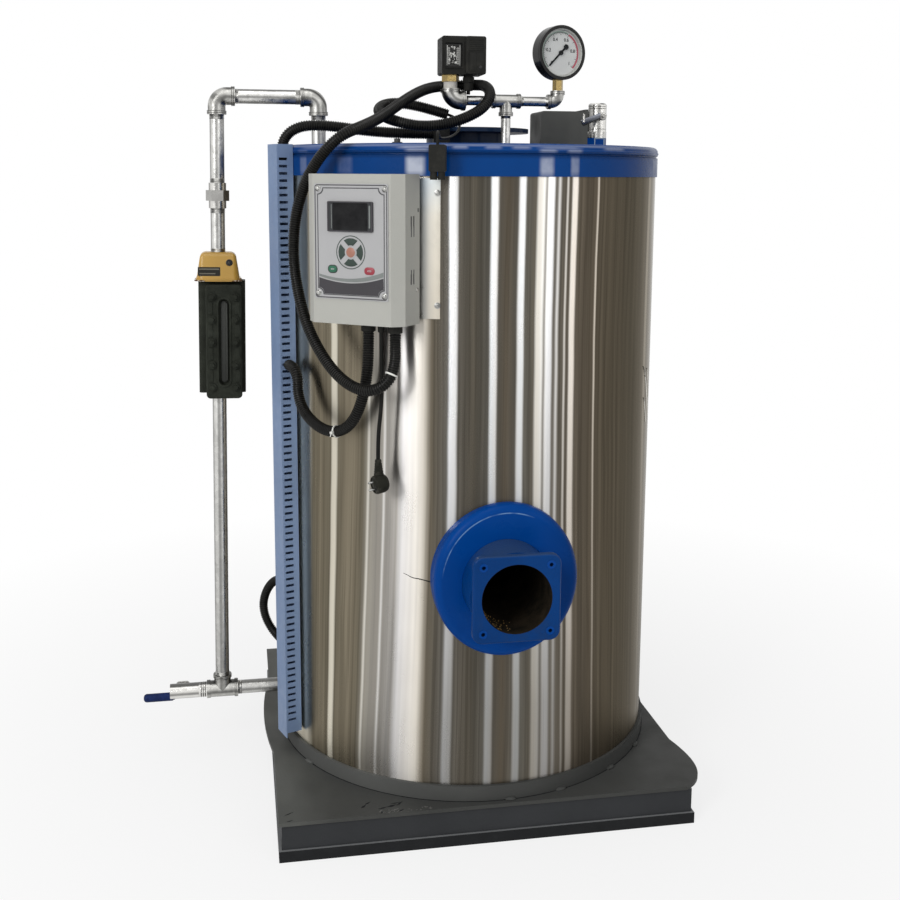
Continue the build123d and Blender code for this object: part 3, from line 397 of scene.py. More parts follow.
def bracket_sheet(name):
    """Zinc sheet under the controller, with painted shade beside the box, a painted highlight towards its free
    edge, and a warmer painted reflection tint low down.
    """
    look = Look(name, (0.52, 0.515, 0.485), 0.34, 1.0)
    angle, height = look.bearing()
    # Painted shade beside the box and painted highlight towards the free edge
    shade = look.along(angle, [
        (-25, (0.17, 0.19, 0.22)), (-21.6, (0.36, 0.38, 0.40)), (-20.2, (0.56, 0.56, 0.55)),
        (-18.6, (0.60, 0.59, 0.56)), (-17, (0.46, 0.45, 0.42)),
    ])
    # Painted reflection tint: warmer low down, cooler at the top
    reflection_tint = look.ramp(look.math("DIVIDE", height, TOP),
                       [(0.80, (1.0, 0.94, 0.84)), (0.90, (1.0, 0.96, 0.88)), (0.945, (0.90, 0.96, 1.0))])
    stain = look.ramp(look.noise(22, 7, 0.7), [(0.5, 0.0), (0.72, 0.30)])
    tone = look.mix(stain, look.shaded(shade, reflection_tint), (0.38, 0.36, 0.32))
    return look.finish(tone, (0.26, 0.46), (9, 3), 0.0006, (50, 5), 0.75)


def sooty_mouth(name):
    """Blue paint outside, paler and greyer on faces turned up, with soot and rust inside the burner's bore."""
    look = Look(name, scaled(LID_BLUE, 0.84), 0.32)
    look.set("Coat Roughness", 0.12)
    axis = look.axes()
    bore_radius = 0.0609
    from_axis = look.reach(axis[0], look.math("SUBTRACT", axis[2], BURNER_HEIGHT))
    inside = look.math("LESS_THAN", from_axis, bore_radius)
    worn = look.ramp(look.noise(16, 7, 0.7), [(0.5, 0.0), (0.72, 0.4)])
    paint = look.mix(worn, look.cloud(0.85, 1.15), (0.02, 0.035, 0.06))
    # Paler and greyer on faces turned up
    paler_on_top = look.ramp(look.upward(), [(0.45, 0.0), (0.90, 0.55)])
    paint = look.mix(paler_on_top, paint, (0.045, 0.075, 0.135))
    black = look.ramp(look.noise(30, 7, 0.7), [(0.35, (0.004, 0.004, 0.003)), (0.75, (0.030, 0.022, 0.014))])
    look.feed(look.mix(inside, paint, black), "Base Color")
    look.feed(look.add(look.times(inside, 0.5), 0.3), "Roughness")
    look.feed(look.math("SUBTRACT", 0.06, look.times(inside, 0.06)), "Coat Weight")
    look.bump(look.noise(240, 5), 0.0004)
    return look.mat


def rosette_paint(name):
    """Blue of the burner's rosette: a broken painted highlight line on its rolled edge, and painted shade
    darker towards the right.
    """
    look = Look(name, ROSETTE_BLUE, 0.30)
    axis = look.axes()
    shift, half_width, half_height = 0.003, 0.1295, 0.139
    across = look.math("DIVIDE", look.math("SUBTRACT", axis[0], shift), half_width)
    rise = look.math("DIVIDE", look.math("SUBTRACT", axis[2], BURNER_HEIGHT), half_height)
    # Painted highlight: a broken pale line on the upper left of the rolled edge
    upper_left = look.math("SUBTRACT", look.times(rise, 0.87), look.times(across, 0.5))
    line = look.times(look.ramp(look.reach(across, rise), [(0.885, 0.0), (0.895, 1.0), (0.905, 0.0)]),
                      look.ramp(upper_left, [(0.52, 0.0), (0.66, 1.0)]))
    line = look.times(line, look.ramp(look.noise(26, 4), [(0.40, 0.25), (0.52, 1.0)]))
    # Painted shade: darker towards the right
    tone = look.shaded(look.cloud(0.90, 1.10), look.ramp(across, [(0.45, 1.0), (0.95, 0.68)]))
    return look.finish(look.mix(line, look.scuffed(tone, 0.05), (0.20, 0.36, 0.60)), (0.22, 0.42))


def ribbed_plastic(name):
    """Black conduit: paler crests and grooves painted near black, as painted light and shade on the ribs."""
    look = Look(name, (0.02, 0.02, 0.019), 0.34)
    look.set("Specular IOR Level", 0.16)
    crest = look.node("Attribute", attribute_name="crest").outputs["Fac"]
    worn = look.ramp(look.noise(40, 6, 0.7), [(0.35, (0.009, 0.009, 0.008)), (0.7, (0.024, 0.023, 0.020))])
    # Painted shade in the grooves, paler crests
    tone = look.mix(crest, (0.0025, 0.0025, 0.0025), worn)
    return look.finish(tone, (0.26, 0.42), (900, 2), 0.00004, (80, 4))


def sleeved_lever(name):
    """Steel lever with a navy sleeve over its outer end."""
    look = Look(name, (0.016, 0.030, 0.11), 0.42)
    sleeve_end = -0.594
    sleeve = look.math("LESS_THAN", look.axes()[0], sleeve_end)
    grain = look.noise(60, 5)
    steel = look.ramp(grain, [(0.3, (0.30, 0.30, 0.29)), (0.7, (0.55, 0.54, 0.52))])
    navy = look.ramp(grain, [(0.3, (0.010, 0.018, 0.065)), (0.7, (0.020, 0.038, 0.14))])
    look.feed(look.mix(sleeve, steel, navy), "Base Color")
    look.feed(look.math("SUBTRACT", 1.0, sleeve), "Metallic")
    look.bump(look.noise(700, 2), 0.00006)
    return look.mat


def plate_paint(name):
    """Grey base plate, paler in soft patches towards its left side."""
    look = Look(name, (0.066, 0.067, 0.064), 0.42)
    left = look.ramp(look.times(look.axes()[0], -2.4), [(0.35, 0.0), (0.85, 1.0)])
    patch = look.ramp(look.noise(5.0, 3, 0.5, (1.0, 0.5, 1.0)), [(0.38, 0.1), (0.60, 1.0)])
    tone = look.mix(look.times(left, patch), look.cloud(0.9, 1.1), (0.120, 0.123, 0.114))
    return look.finish(look.scuffed(tone, 0.10), (0.34, 0.54))


def frame_paint(name):
    """Grey base frame over a skid strip painted darker for dirt and shade; its up-facing ledge carries a
    painted highlight.
    """
    color = (0.044, 0.046, 0.049)
    look = Look(name, color, 0.45)
    strip_top = 0.0208
    strip = look.math("LESS_THAN", look.axes()[2], strip_top)
    # Skid strip painted darker, for dirt and shade
    dark = look.mix(look.noise(30, 6), scaled(color, 0.30), scaled(color, 0.62))
    # Painted highlight on the up-facing ledge
    ledge_highlight = look.ramp(look.upward(), [(0.7, 0.0), (0.9, 1.0)])
    tone = look.mix(ledge_highlight, look.mix(strip, look.cloud(0.88, 1.12), dark), (0.20, 0.205, 0.21))
    return look.finish(tone, (0.37, 0.57))


def ring_paint(name):
    """Grey foot ring with painted light: paler towards its left side, darker to the right."""
    look = Look(name, (0.115, 0.117, 0.112), 0.5)
    # Painted light and shade by angle round the ring
    shade = look.along(look.bearing()[0], [
        (-75, 0.85), (-60, 0.95), (-40, 1.0), (-20, 0.85), (0, 0.62), (30, 0.56), (75, 0.62),
    ])
    return look.finish(look.scuffed(look.shaded(look.cloud(0.9, 1.1), shade), 0.12, 2.0), (0.42, 0.62))


def cover_paint(name):
    """Grey sheet cover; its left side lies in shade."""
    look = Look(name, (0.128, 0.130, 0.121), 0.5)
    shade = look.ramp(look.add(look.axes(look.normal)[0], 1.0), [(0.1, 0.36), (0.9, 1.0)])
    grime = look.ramp(look.noise(11, 7, 0.65), [(0.42, 0.0), (0.75, 0.16)])
    tone = look.mix(grime, look.shaded(look.cloud(0.84, 1.16), shade), (0.16, 0.145, 0.12))
    return look.finish(tone, (0.42, 0.62), depth=0.00015)


def screen_glass(name):
    """Dark display glass with a faint haze."""
    look = Look(name, (0.012, 0.012, 0.013), 0.12)
    haze = look.noise(28, 4)
    look.feed(look.ramp(haze, [(0.3, (0.006, 0.006, 0.007)), (0.75, (0.030, 0.030, 0.031))]), "Base Color")
    look.feed(look.ramp(haze, [(0.3, 0.08), (0.7, 0.2)]), "Roughness")
    return look.mat


def clear_glass(name):
    """Clear glass over the gauge's dial."""
    look = Look(name, (0.10, 0.11, 0.11), 0.03)
    look.set("Alpha", 0.05)
    look.feed(look.ramp(look.noise(60, 4), [(0.4, 0.02), (0.8, 0.09)]), "Roughness")
    return look.mat


# Colour, roughness, coat, drift, orange peel, scuffs, dust
PAINTED = {
    "blue_paint": (ROSETTE_BLUE, 0.30, 0.0, 0.10, 0.00010, 0.05, 0.03),
    # Pale blue for the steam socket's painted highlights
    "blue_paint_worn": ((0.30, 0.40, 0.50), 0.35, 0.0, 0.25),
    "blue_paint_dull": ((0.004, 0.022, 0.062), 0.38, 0.12, 0.25, 0.00012, 0.08, 0.10),
    "yellow_paint": ((0.52, 0.30, 0.045), 0.38, 0.2, 0.18, 0.00010, 0.10, 0.10),
    "controller_powder_coat": ((0.44, 0.44, 0.405), 0.48, 0.0, 0.03, 0.00018),
    "gauge_inner_enamel": ((0.46, 0.47, 0.44), 0.4, 0.0, 0.08, 0.00002),
    "black_gloss_enamel": ((0.008, 0.008, 0.008), 0.22, 0.4, 0.2, 0.00003, 0.0, 0.03),
}
# Colour, roughness, metal, depth and scale of the grain
CAST = {
    "furnace_soot": ((0.010, 0.0085, 0.007), 0.8, 0.0, 0.0015, 120),
    "black_casting": ((0.030, 0.033, 0.026), 0.62, 0.0, 0.0007, 300),
    "black_screw": ((0.018, 0.018, 0.018), 0.45, 0.3, 0.0003, 500),
    "gasket_brown": ((0.12, 0.055, 0.022), 0.8, 0.0, 0.0004, 600),
    "gasket_pale": ((0.50, 0.44, 0.36), 0.8, 0.0, 0.0004, 600),
    "rust_specks": ((0.26, 0.17, 0.07), 0.85, 0.0, 0.0003, 700),
}
# Colour, roughness, dull blotches, spangle, strength of the painted reflection streaks, darkening towards the
# bottom
ZINC = {
    "galvanized": (),
    "galvanized_casting": ((0.52, 0.515, 0.49), 0.34, 0.6, 0.2),
    "column_pipe_zinc": ((0.72, 0.715, 0.69), 0.3, 0.35, 0.15, 0.95, 0.45),
    "nickel_plate": ((0.74, 0.73, 0.70), 0.16, 0.15, 0.05),
    "dark_steel": ((0.20, 0.21, 0.24), 0.3, 0.3, 0.1, 0.6),
    "brass_plate": ((0.72, 0.53, 0.22), 0.26, 0.3),
    "zinc_screw": ((0.62, 0.61, 0.58), 0.28, 0.35),
    "dull_screw": ((0.50, 0.50, 0.48), 0.3, 0.6),
    "switch_works_silver": ((0.42, 0.42, 0.40), 0.35, 0.7),
    # Paler steel for the painted highlights of the jacket's dents
    "seam_steel": ((0.62, 0.60, 0.55), 0.2, 0.1),
}
# Colour, roughness, grain, drift, dust
MOULDED = {
    "black_plastic": ((0.022, 0.022, 0.020), 0.5, 0.0001, 0.2, 0.08),
    "white_bush": ((0.62, 0.60, 0.55), 0.5, 0.0002, 0.1, 0.2),
    "dial_enamel": ((0.77, 0.78, 0.765), 0.4, 0.00001, 0.03),
    "printing_ink": ((0.015, 0.016, 0.017), 0.5, 0.00001),
    "red_ink": ((0.52, 0.10, 0.14), 0.5, 0.00001),
    "green_ink": ((0.30, 0.44, 0.36), 0.5, 0.00001),
    "panel_dark_film": ((0.075, 0.072, 0.078), 0.35, 0.00002, 0.08),
    "panel_line_film": ((0.10, 0.10, 0.105), 0.4, 0.00002, 0.05),
    "panel_pale_film": ((0.43, 0.43, 0.435), 0.35, 0.00002, 0.03),
    "panel_swoosh_film": ((0.24, 0.26, 0.25), 0.35, 0.00002, 0.05),
    "key_green_film": ((0.058, 0.078, 0.068), 0.35, 0.00002, 0.15),
    "key_go_film": ((0.05, 0.16, 0.10), 0.35, 0.00002, 0.1),
    "key_stop_film": ((0.30, 0.028, 0.045), 0.35, 0.00002, 0.1),
    "key_orange_film": ((0.37, 0.165, 0.115), 0.35, 0.00002, 0.1),
    "screen_frame": ((0.055, 0.057, 0.060), 0.3, 0.00002, 0.1),
    "trunking_cover_plastic": ((0.180, 0.258, 0.42), 0.5, 0.00006, 0.07, 0.05),
    "trunking_plastic": ((0.160, 0.235, 0.39), 0.5, 0.00006, 0.10, 0.05),
    "cord_rubber": ((0.014, 0.014, 0.013), 0.42, 0.00004, 0.2, 0.04),
    "plug_plastic": ((0.022, 0.022, 0.017), 0.4, 0.0002, 0.25, 0.25),
    "tie_nylon": ((0.72, 0.72, 0.68), 0.4, 0.00003, 0.05),
    "window_tube": ((0.05, 0.052, 0.048), 0.2, 0.00002, 0.2),
    "paint_chips": ((0.15, 0.148, 0.140), 0.6, 0.0001, 0.2),
    "label_dark": ((0.030, 0.030, 0.026), 0.35, 0.00002, 0.2),
    "label_pale": ((0.16, 0.15, 0.12), 0.4, 0.00002, 0.2),
}
SPECIAL = {
    "polished_jacket": stainless, "lid_paint": lid_paint, "zinc_sheet": bracket_sheet,
    "ring_paint": ring_paint, "burner_mouth_paint": sooty_mouth, "rosette_paint": rosette_paint,
    "conduit_plastic": ribbed_plastic, "drain_lever_finish": sleeved_lever,
    "base_plate_paint": plate_paint, "base_frame_paint": frame_paint, "cover_paint": cover_paint,
    "screen_glass": screen_glass, "gauge_glass": clear_glass,
}
looks = {name: make(name) for name, make in SPECIAL.items()}
for make, table in ((painted, PAINTED), (cast, CAST), (zinc, ZINC), (moulded, MOULDED)):
    looks.update((name, make(name, *values)) for name, values in table.items())

# Finish of each CAD node that stays in sight
WEAR = {
    "base_frame": "base_frame_paint", "base_plate": "base_plate_paint", "base_ring": "ring_paint",
    "jacket": "polished_jacket", "top_lid": "lid_paint", "furnace_drum": "furnace_soot",
    "flue_collar": "blue_paint_dull", "burner_rosette": "rosette_paint",
    "burner_mouth": "burner_mouth_paint", "float_housing": "black_casting",
    "float_cover": "black_casting", "float_cap": "yellow_paint", "column_union": "nickel_plate",
    "column_fittings": "galvanized_casting", "column_pipes": "column_pipe_zinc",
    "drain_valve": "nickel_plate", "drain_lever": "drain_lever_finish",
    "manifold_fittings": "galvanized_casting", "manifold_pipes": "galvanized",
    "switch_bush": "white_bush", "switch_nut": "brass_plate", "pressure_switch": "black_plastic",
    "gauge_adapter": "brass_plate", "gauge_case": "black_gloss_enamel", "gauge_dial": "dial_enamel",
    "gauge_pointer": "printing_ink", "gauge_glass": "gauge_glass", "steam_socket": "blue_paint",
    "steam_valve": "nickel_plate", "steam_lever": "dark_steel", "lid_cover": "cover_paint",
    "controller_bracket": "zinc_sheet", "controller_box": "controller_powder_coat",
    "controller_panel": "panel_pale_film", "controller_screen": "screen_frame",
    "controller_keys": "key_green_film", "trunking_channel": "trunking_plastic",
    "trunking_cover": "trunking_cover_plastic", "cable_glands": "black_plastic",
    "connector": "black_plastic",
}
for name, look in WEAR.items():
    for place in nodes[name].material_slots:
        place.material = looks[look]


# Frames and shapes

def frame_at(origin, x_dir, y_dir):
    """Frame from an origin in millimetres and two directions, as a matrix that gives metres."""
    x_dir, y_dir = Vector(x_dir).normalized(), Vector(y_dir).normalized()
    turn = Matrix((x_dir, y_dir, x_dir.cross(y_dir))).transposed().to_4x4()
    return IN_METRES @ Matrix.Translation(Vector(origin)) @ turn


def directions(azimuth):
    """Directions at an angle round the boiler: outwards and round to the right."""
    angle = math.radians(azimuth)
    return Vector((math.sin(angle), -math.cos(angle), 0)), Vector((math.cos(angle), math.sin(angle), 0))


def side_frame(azimuth, distance, height):
    """Frame on the boiler's side: x round to the right, y up, z outwards."""
    outward, around = directions(azimuth)
    return frame_at(outward * distance + UP * height, around, UP)


def build(name, look, slot, where, *shapes, body="boiler", smooth=True, stands_for=None):
    """Make a piece of shapes, each a maker with its values, and let it ride on a body with a finish."""
    bm = bmesh.new()
    for make, *values in shapes:
        make(bm, *values)
    bmesh.ops.transform(bm, matrix=where, verts=bm.verts)
    bmesh.ops.recalc_face_normals(bm, faces=bm.faces)
    mesh = bpy.data.meshes.new(name)
    bm.to_mesh(mesh)
    bm.free()
    for face in mesh.polygons:
        face.use_smooth = smooth
    if smooth:
        mesh.set_sharp_from_angle(angle=math.radians(38))
    made = bpy.data.objects.new(name, mesh)
    bpy.context.scene.collection.objects.link(made)
    mesh.materials.append(looks[look])
    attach(made, body)
    if stands_for:
        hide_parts(stands_for)
    return made


def placed(bm, where, make, *values):
    """Add a shape in a frame of its own."""
    before = len(bm.verts)
    make(bm, *values)
    bmesh.ops.transform(bm, matrix=where, verts=list(bm.verts)[before:])


def loft(bm, rings, loop=False):
    """Skin rings of equal length, closed at the ends or back to the first ring."""
    made = [[bm.verts.new(p) for p in ring] for ring in rings]
    count = len(made[0])
    for low, high in list(zip(made, made[1:])) + ([(made[-1], made[0])] if loop else []):
        for i in range(count):
            j = (i + 1) % count
            bm.faces.new((low[i], low[j], high[j], high[i]))
    if not loop:
        bm.faces.new(list(reversed(made[0])))
        bm.faces.new(made[-1])


def turned(bm, profile, sides=32, at=(0, 0, 0), flats=()):
    """Turn a profile of (radius, height) about z, six-sided at the rings that flats names."""
    rings = []
    for index, (radius, height) in enumerate(profile):
        ring = []
        for i in range(sides):
            angle = 2 * math.pi * (i + 0.5) / sides
            reach = radius
            if index in flats:
                sector = (angle + math.pi / 6) % (math.pi / 3) - math.pi / 6
                reach = radius * math.cos(math.pi / 6) / math.cos(sector)
            ring.append(Vector(at) + Vector((reach * math.cos(angle), reach * math.sin(angle), height)))
        rings.append(ring)
    loft(bm, rings)


def slab(bm, outline, low, high, edge=0.0):
    """Plate of a flat outline from one height to another, its upper edge softened."""
    middle = Vector((sum(p[0] for p in outline), sum(p[1] for p in outline))) / len(outline)

    def ring(height, inset):
        inward = [(middle - Vector(p)).normalized() * inset for p in outline]
        return [Vector((*p, height)) + Vector((*way, 0)) for p, way in zip(outline, inward)]

    softened = [(high - edge, 0), (high - 0.3 * edge, 0.3 * edge)] if edge else []
    loft(bm, [ring(*step) for step in [(low, 0), *softened, (high, edge)]])


def arc(radius, start, end, steps, at=(0, 0)):
    """Points on an arc, angles in degrees."""
    turns = [math.radians(start + (end - start) * i / steps) for i in range(steps + 1)]
    return [(at[0] + radius * math.cos(turn), at[1] + radius * math.sin(turn)) for turn in turns]


def rounded(width, height, radius, steps=5, at=(0, 0)):
    """Outline of a rounded rectangle."""
    out = []
    for x, y, start in ((1, 1, 0), (-1, 1, 90), (-1, -1, 180), (1, -1, 270)):
        corner = (at[0] + x * (width / 2 - radius), at[1] + y * (height / 2 - radius))
        out += arc(radius, start, start + 90, steps, corner)
    return out


def notched(w, h, notch, steps=8):
    """Rectangle, given by its half sizes, whose corners are scooped out."""
    return (arc(notch, 270, 180, steps, (w, h)) + arc(notch, 0, -90, steps, (-w, h))
            + arc(notch, 90, 0, steps, (-w, -h)) + arc(notch, 180, 90, steps, (w, -h)))


def sector(outer, inner, start, end, steps):
    """Outline of a part of a flat ring."""
    return arc(outer, start, end, steps) + arc(inner, start, end, steps)[::-1]


def band(bm, outer, inner, low, high):
    """Flat frame between two outlines of equal length."""
    steps = ((inner, low), (outer, low), (outer, high), (inner, high))
    loft(bm, [[(*p, height) for p in outline] for outline, height in steps], loop=True)


def hoop(bm, profile, sides):
    """Turned ring with an open middle."""
    last = 360 - 360 / sides
    rings = [[(*p, height) for p in arc(radius, 0, last, sides - 1)] for radius, height in profile]
    loft(bm, rings, loop=True)


def hex_bolt(bm, at, size, height, washer):
    """Hex head with a chamfered top on a washer."""
    turned(bm, [(size * 0.98, 0), (size * 0.98, washer), (size * 0.5, washer)], 24, at)
    turned(bm, [(size * 0.62, washer), (size * 0.66, washer), (size * 0.66, washer + height * 0.8),
                (size * 0.56, washer + height), (size * 0.1, washer + height)], 24, at, (0, 1, 2, 3))


def pan_screw(bm, at, radius, height, spin):
    """Pan head with a sunk cross."""
    turned(bm, [(radius, 0), (radius, height * 0.35), (radius * 0.86, height * 0.78),
                (radius * 0.55, height * 0.97), (radius * 0.16, height)], 22, at)
    for turn in (spin, spin + 90):
        angle = math.radians(turn)
        along = Vector((math.cos(angle), math.sin(angle), 0))
        across = Vector((-along.y, along.x, 0)) * radius * 0.10
        reach = along * radius * 0.55
        ring = [reach + across, -reach + across, -reach - across, reach - across]
        loft(bm, [[Vector(at) + UP * height * rise + p for p in ring] for rise in (0.80, 1.04)])


def round_ring(middle, side, other, reach, sides):
    turns = [2 * math.pi * k / sides for k in range(sides)]
    return [middle + (side * math.cos(turn) + other * math.sin(turn)) * reach for turn in turns]


def thread(bm, start, end, radius, pitch, depth, sides=24):
    """Cut thread on a pipe's end: ridges square to the pipe."""
    along = (end - start).normalized()
    side = along.orthogonal().normalized()
    count = 2 * max(2, int((end - start).length / pitch))
    loft(bm, [round_ring(start.lerp(end, i / count), side, along.cross(side), radius + depth * (i % 2), sides)
              for i in range(count + 1)])


# Camera

def set_camera():
    yaw, pitch, roll = math.radians(10.34), math.radians(8.95), math.radians(0.31)
    image_width, focal_pixels, sensor = 900, 1171.5, 36
    forward = Vector((math.sin(yaw) * math.cos(pitch), math.cos(yaw) * math.cos(pitch), -math.sin(pitch)))
    right = Vector((math.cos(yaw), -math.sin(yaw), 0))
    up = right.cross(forward)
    turned_right = right * math.cos(roll) + up * math.sin(roll)
    turned_up = up * math.cos(roll) - right * math.sin(roll)
    lens = bpy.data.cameras.new("camera")
    lens.sensor_width = sensor
    lens.lens = focal_pixels * sensor / image_width
    lens.shift_y = -0.1
    lens.clip_end = 60
    made = bpy.data.objects.new("camera", lens)
    turn = Matrix((turned_right, turned_up, -forward)).transposed().to_4x4()
    made.matrix_world = Matrix.Translation((-0.4498, -2.3027, 1.1931)) @ turn
    bpy.context.scene.collection.objects.link(made)
    bpy.context.scene.camera = made


set_camera()


# Cords: the same routes as the CAD tubes

def channel(sideways):
    """Place across the trunking's channel, to the right of its middle."""
    outward, around = directions(-71)
    spot = outward * (373.3 + 29 / 2) + around * sideways
    return spot.x, spot.y


LONG = [
    (-190, -364, 931), (-190, -364, 908), (-191, -371, 880), (-201, -379, 853), (-222, -375, 836),
    (-248, -357, 832), (-277, -331, 846), (-305, -299, 878), (-332, -262, 932), (-346, -230, 993),
    (-352, -214, 1060), (-346, -224, 1130), (-327, -248, 1190), (-299, -275, 1234), (-268, -285, 1262),
    (-234, -264, 1275), (-197, -228, 1292), (-158, -192, 1319), (-120, -158, 1342), (-87, -128, 1354),
    (-48, -111, 1358), (-14, -121, 1359), (8, -150, 1357), (11, -182, 1337), (-8, -199, 1312),
    (-42, -205, 1294), (-82, -209, 1282), (-122, -209, 1279), (-157, -202, 1285), (-184, -184, 1295),
    (-194, -155, 1308), (-181, -130, 1320), (-152, -119, 1325), (-118, -121, 1320), (-87, -126, 1312),
    (-60, -131, 1304),
]
DECK = [
    (-365.6, -132.3, 1218), (-365.6, -132.3, 1246), (-353, -135, 1268), (-330, -139.5, 1279.5),
    (-300, -142.5, 1281.5), (-264, -143, 1279), (-216, -139, 1273), (-168, -133, 1270), (-126, -130, 1269),
    (-88.3, -130, 1269),
]
DUCT = [
    (*channel(22.8), 846), (*channel(46.8), 846), (-345, -188, 829), (-346, -195, 801), (-338, -213, 772),
    (-318, -245, 752), (-296, -269, 744), (-275, -291, 749), (-257, -307, 768), (-245, -317, 797),
    (-236, -324, 836), (-231, -327, 884), (-231, -327, 931),
]
LOOP = [
    (*channel(-22.8), 413), (*channel(-46.8), 413), (-397, -68, 400), (-409, -60, 377), (-414, -58, 351),
    (-409, -60, 325), (-397, -68, 303), (*channel(-46.8), 290), (*channel(-22.8), 290),
]
POWER = [
    (-212, -351, 931), (-212, -351, 890), (-211, -352, 842), (-213, -350.5, 796), (-218, -348, 750),
    (-218, -348, 710),
]
LEAD = [
    (-60, -131, 1304), (-48, -133, 1300), (-41, -142, 1291), (-43, -159, 1278), (-54, -183, 1267),
    (-71, -212, 1260), (-88, -248, 1257), (-102, -290, 1256), (-111.5, -330, 1259), (-117, -357, 1264),
    (-120.5, -374, 1264), (-122.5, -386, 1256), (-122.5, -386, 1243),
]


def route(name, points, thick=0.0):
    """Smooth curve with the route's points as its control points."""
    data = bpy.data.curves.new(name, "CURVE")
    data.dimensions = "3D"
    data.resolution_u = 16
    data.bevel_depth = thick
    data.bevel_resolution = 5
    data.use_fill_caps = True
    spline = data.splines.new("NURBS")
    spline.points.add(len(points) - 1)
    for slot, point in zip(spline.points, points):
        slot.co = (*(c * MM for c in point), 1)
    spline.order_u = 3
    spline.use_endpoint_u = True
    made = bpy.data.objects.new(name, data)
    bpy.context.scene.collection.objects.link(made)
    return made


def mesh_of(made):
    """Mesh of a curve or text object."""
    bpy.context.view_layer.update()
    return bpy.data.meshes.new_from_object(made.evaluated_get(bpy.context.evaluated_depsgraph_get()))


def line_of(name, points):
    """Points read from the route's smooth curve."""
    made = route(name + "_line", points)
    mesh = mesh_of(made)
    out = [v.co.copy() for v in mesh.vertices]
    bpy.data.meshes.remove(mesh)
    bpy.data.objects.remove(made)
    return out


def length_of(line):
    return sum((b - a).length for a, b in zip(line, line[1:]))


def walk(line, step):
    """Even steps along a line with frames that don't twist: (point, side, other)."""
    total = length_of(line)
    count = max(2, round(total / step))
    out, index, done = [], 0, 0.0
    side = (line[1] - line[0]).orthogonal().normalized()
    for i in range(count + 1):
        want = total * i / count
        while index < len(line) - 2 and done + (line[index + 1] - line[index]).length < want:
            done += (line[index + 1] - line[index]).length
            index += 1
        run = line[index + 1] - line[index]
        along = (line[min(len(line) - 1, index + 2)] - line[max(0, index - 1)]).normalized()
        side = (side - along * side.dot(along)).normalized()
        out.append((line[index] + run.normalized() * (want - done), side, along.cross(side)))
    return out


def corrugated(name, points, radius, node):
    """Ribbed conduit along a route. Its ribs are shape, not only shading."""
    pitch, depth, sides = 0.0042, 0.0014, 16
    line = line_of(name, points)
    steps = walk(line, pitch / 4)
    rings = [round_ring(*step, radius - depth * (i % 4 > 1), sides) for i, step in enumerate(steps)]
    made = build(name, "conduit_plastic", "conduit_black", Matrix(), (loft, rings), stands_for=node)
    crest = made.data.attributes.new("crest", "FLOAT", "POINT")
    for i in range(len(rings) * sides):
        crest.data[i].value = 1.0 if i // sides % 4 < 2 else 0.0
    path = [step[0] for step in steps]
    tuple(path[0])
    length_of(line)
    return line


long_line = corrugated("conduit_long", LONG, 0.010, "long_conduit")
corrugated("conduit_deck", DECK, 0.010, "deck_conduit")
duct_line = corrugated("conduit_duct", DUCT, 0.010, "duct_conduit")
corrugated("conduit_slack", LOOP, 0.0085, "slack_loop")


def round_cord(name, points, radius, node, with_pieces):
    """Smooth round lead along a route."""
    line = line_of(name, points)
    made = route(name, points, radius)
    made.data.materials.append(looks["cord_rubber"])
    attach(made, "boiler")
    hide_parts(node)
    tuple(line[0])
    length_of(line)


def plug():
    """Angled plug: ribbed neck down from the lead, round head turned to the front left, two round pins."""
    end = Vector(POWER[-1])
    right, outward = Vector((0.848, -0.53, 0)), Vector((-0.53, -0.848, 0))
    down = (-UP * 0.99 + right * 0.07 + outward * 0.05).normalized()
    head = (outward * 0.78 - right * 0.60 - UP * 0.12).normalized()

    def facing(origin, across, ahead):
        turn = Matrix((across, ahead.cross(across), ahead)).transposed().to_4x4()
        return Matrix.Translation(origin) @ turn

    neck = [(4.6, 0.0), (5.4, 1.0)]
    for i in range(6):
        size, rise = 0.55 * i, 4.4 * i
        neck += [(5.8 + size, 2.5 + rise), (5.8 + size, 4.9 + rise), (4.9 + size, 5.1 + rise)]
    neck += [(11.0, 30.0), (13.0, 37.0), (11.5, 46.0)]
    disc = [(11.5, -14), (14.6, -11.5), (16.4, -6), (16.4, 7), (15.2, 9.6), (13.2, 10.4), (12.6, 8.6),
            (9.4, 8.6), (8.8, 9.6), (2.0, 9.6)]
    neck_frame = facing(end, down.cross(head).normalized(), down)
    head_frame = facing(end + down * 43, head.cross(UP).normalized(), head)
    body = build("plug_body", "plug_plastic", "cord_black", IN_METRES, (placed, neck_frame, turned, neck, 28),
                 (placed, head_frame, turned, disc, 44), stands_for="power_plug")
    pin = [(2.1, 9), (2.1, 19), (1.5, 20.6), (0.3, 21)]
    pins = build("plug_pins", "dull_screw", "chrome", IN_METRES @ head_frame,
                 *[(turned, pin, 20, (0, side, 0)) for side in (-6.5, 6.5)])
    return [body, pins]


round_cord("lead_power", POWER, 0.0035, "power_lead", plug())
round_cord("lead_sensor", LEAD, 0.0025, "sensor_lead", [nodes["connector"]])


# Controller print and fixings, in the panel's frame: x right, y up from the panel's middle, z outwards

CONTROLLER_TURN = -36.5
BRACKET_FACE = 373.3


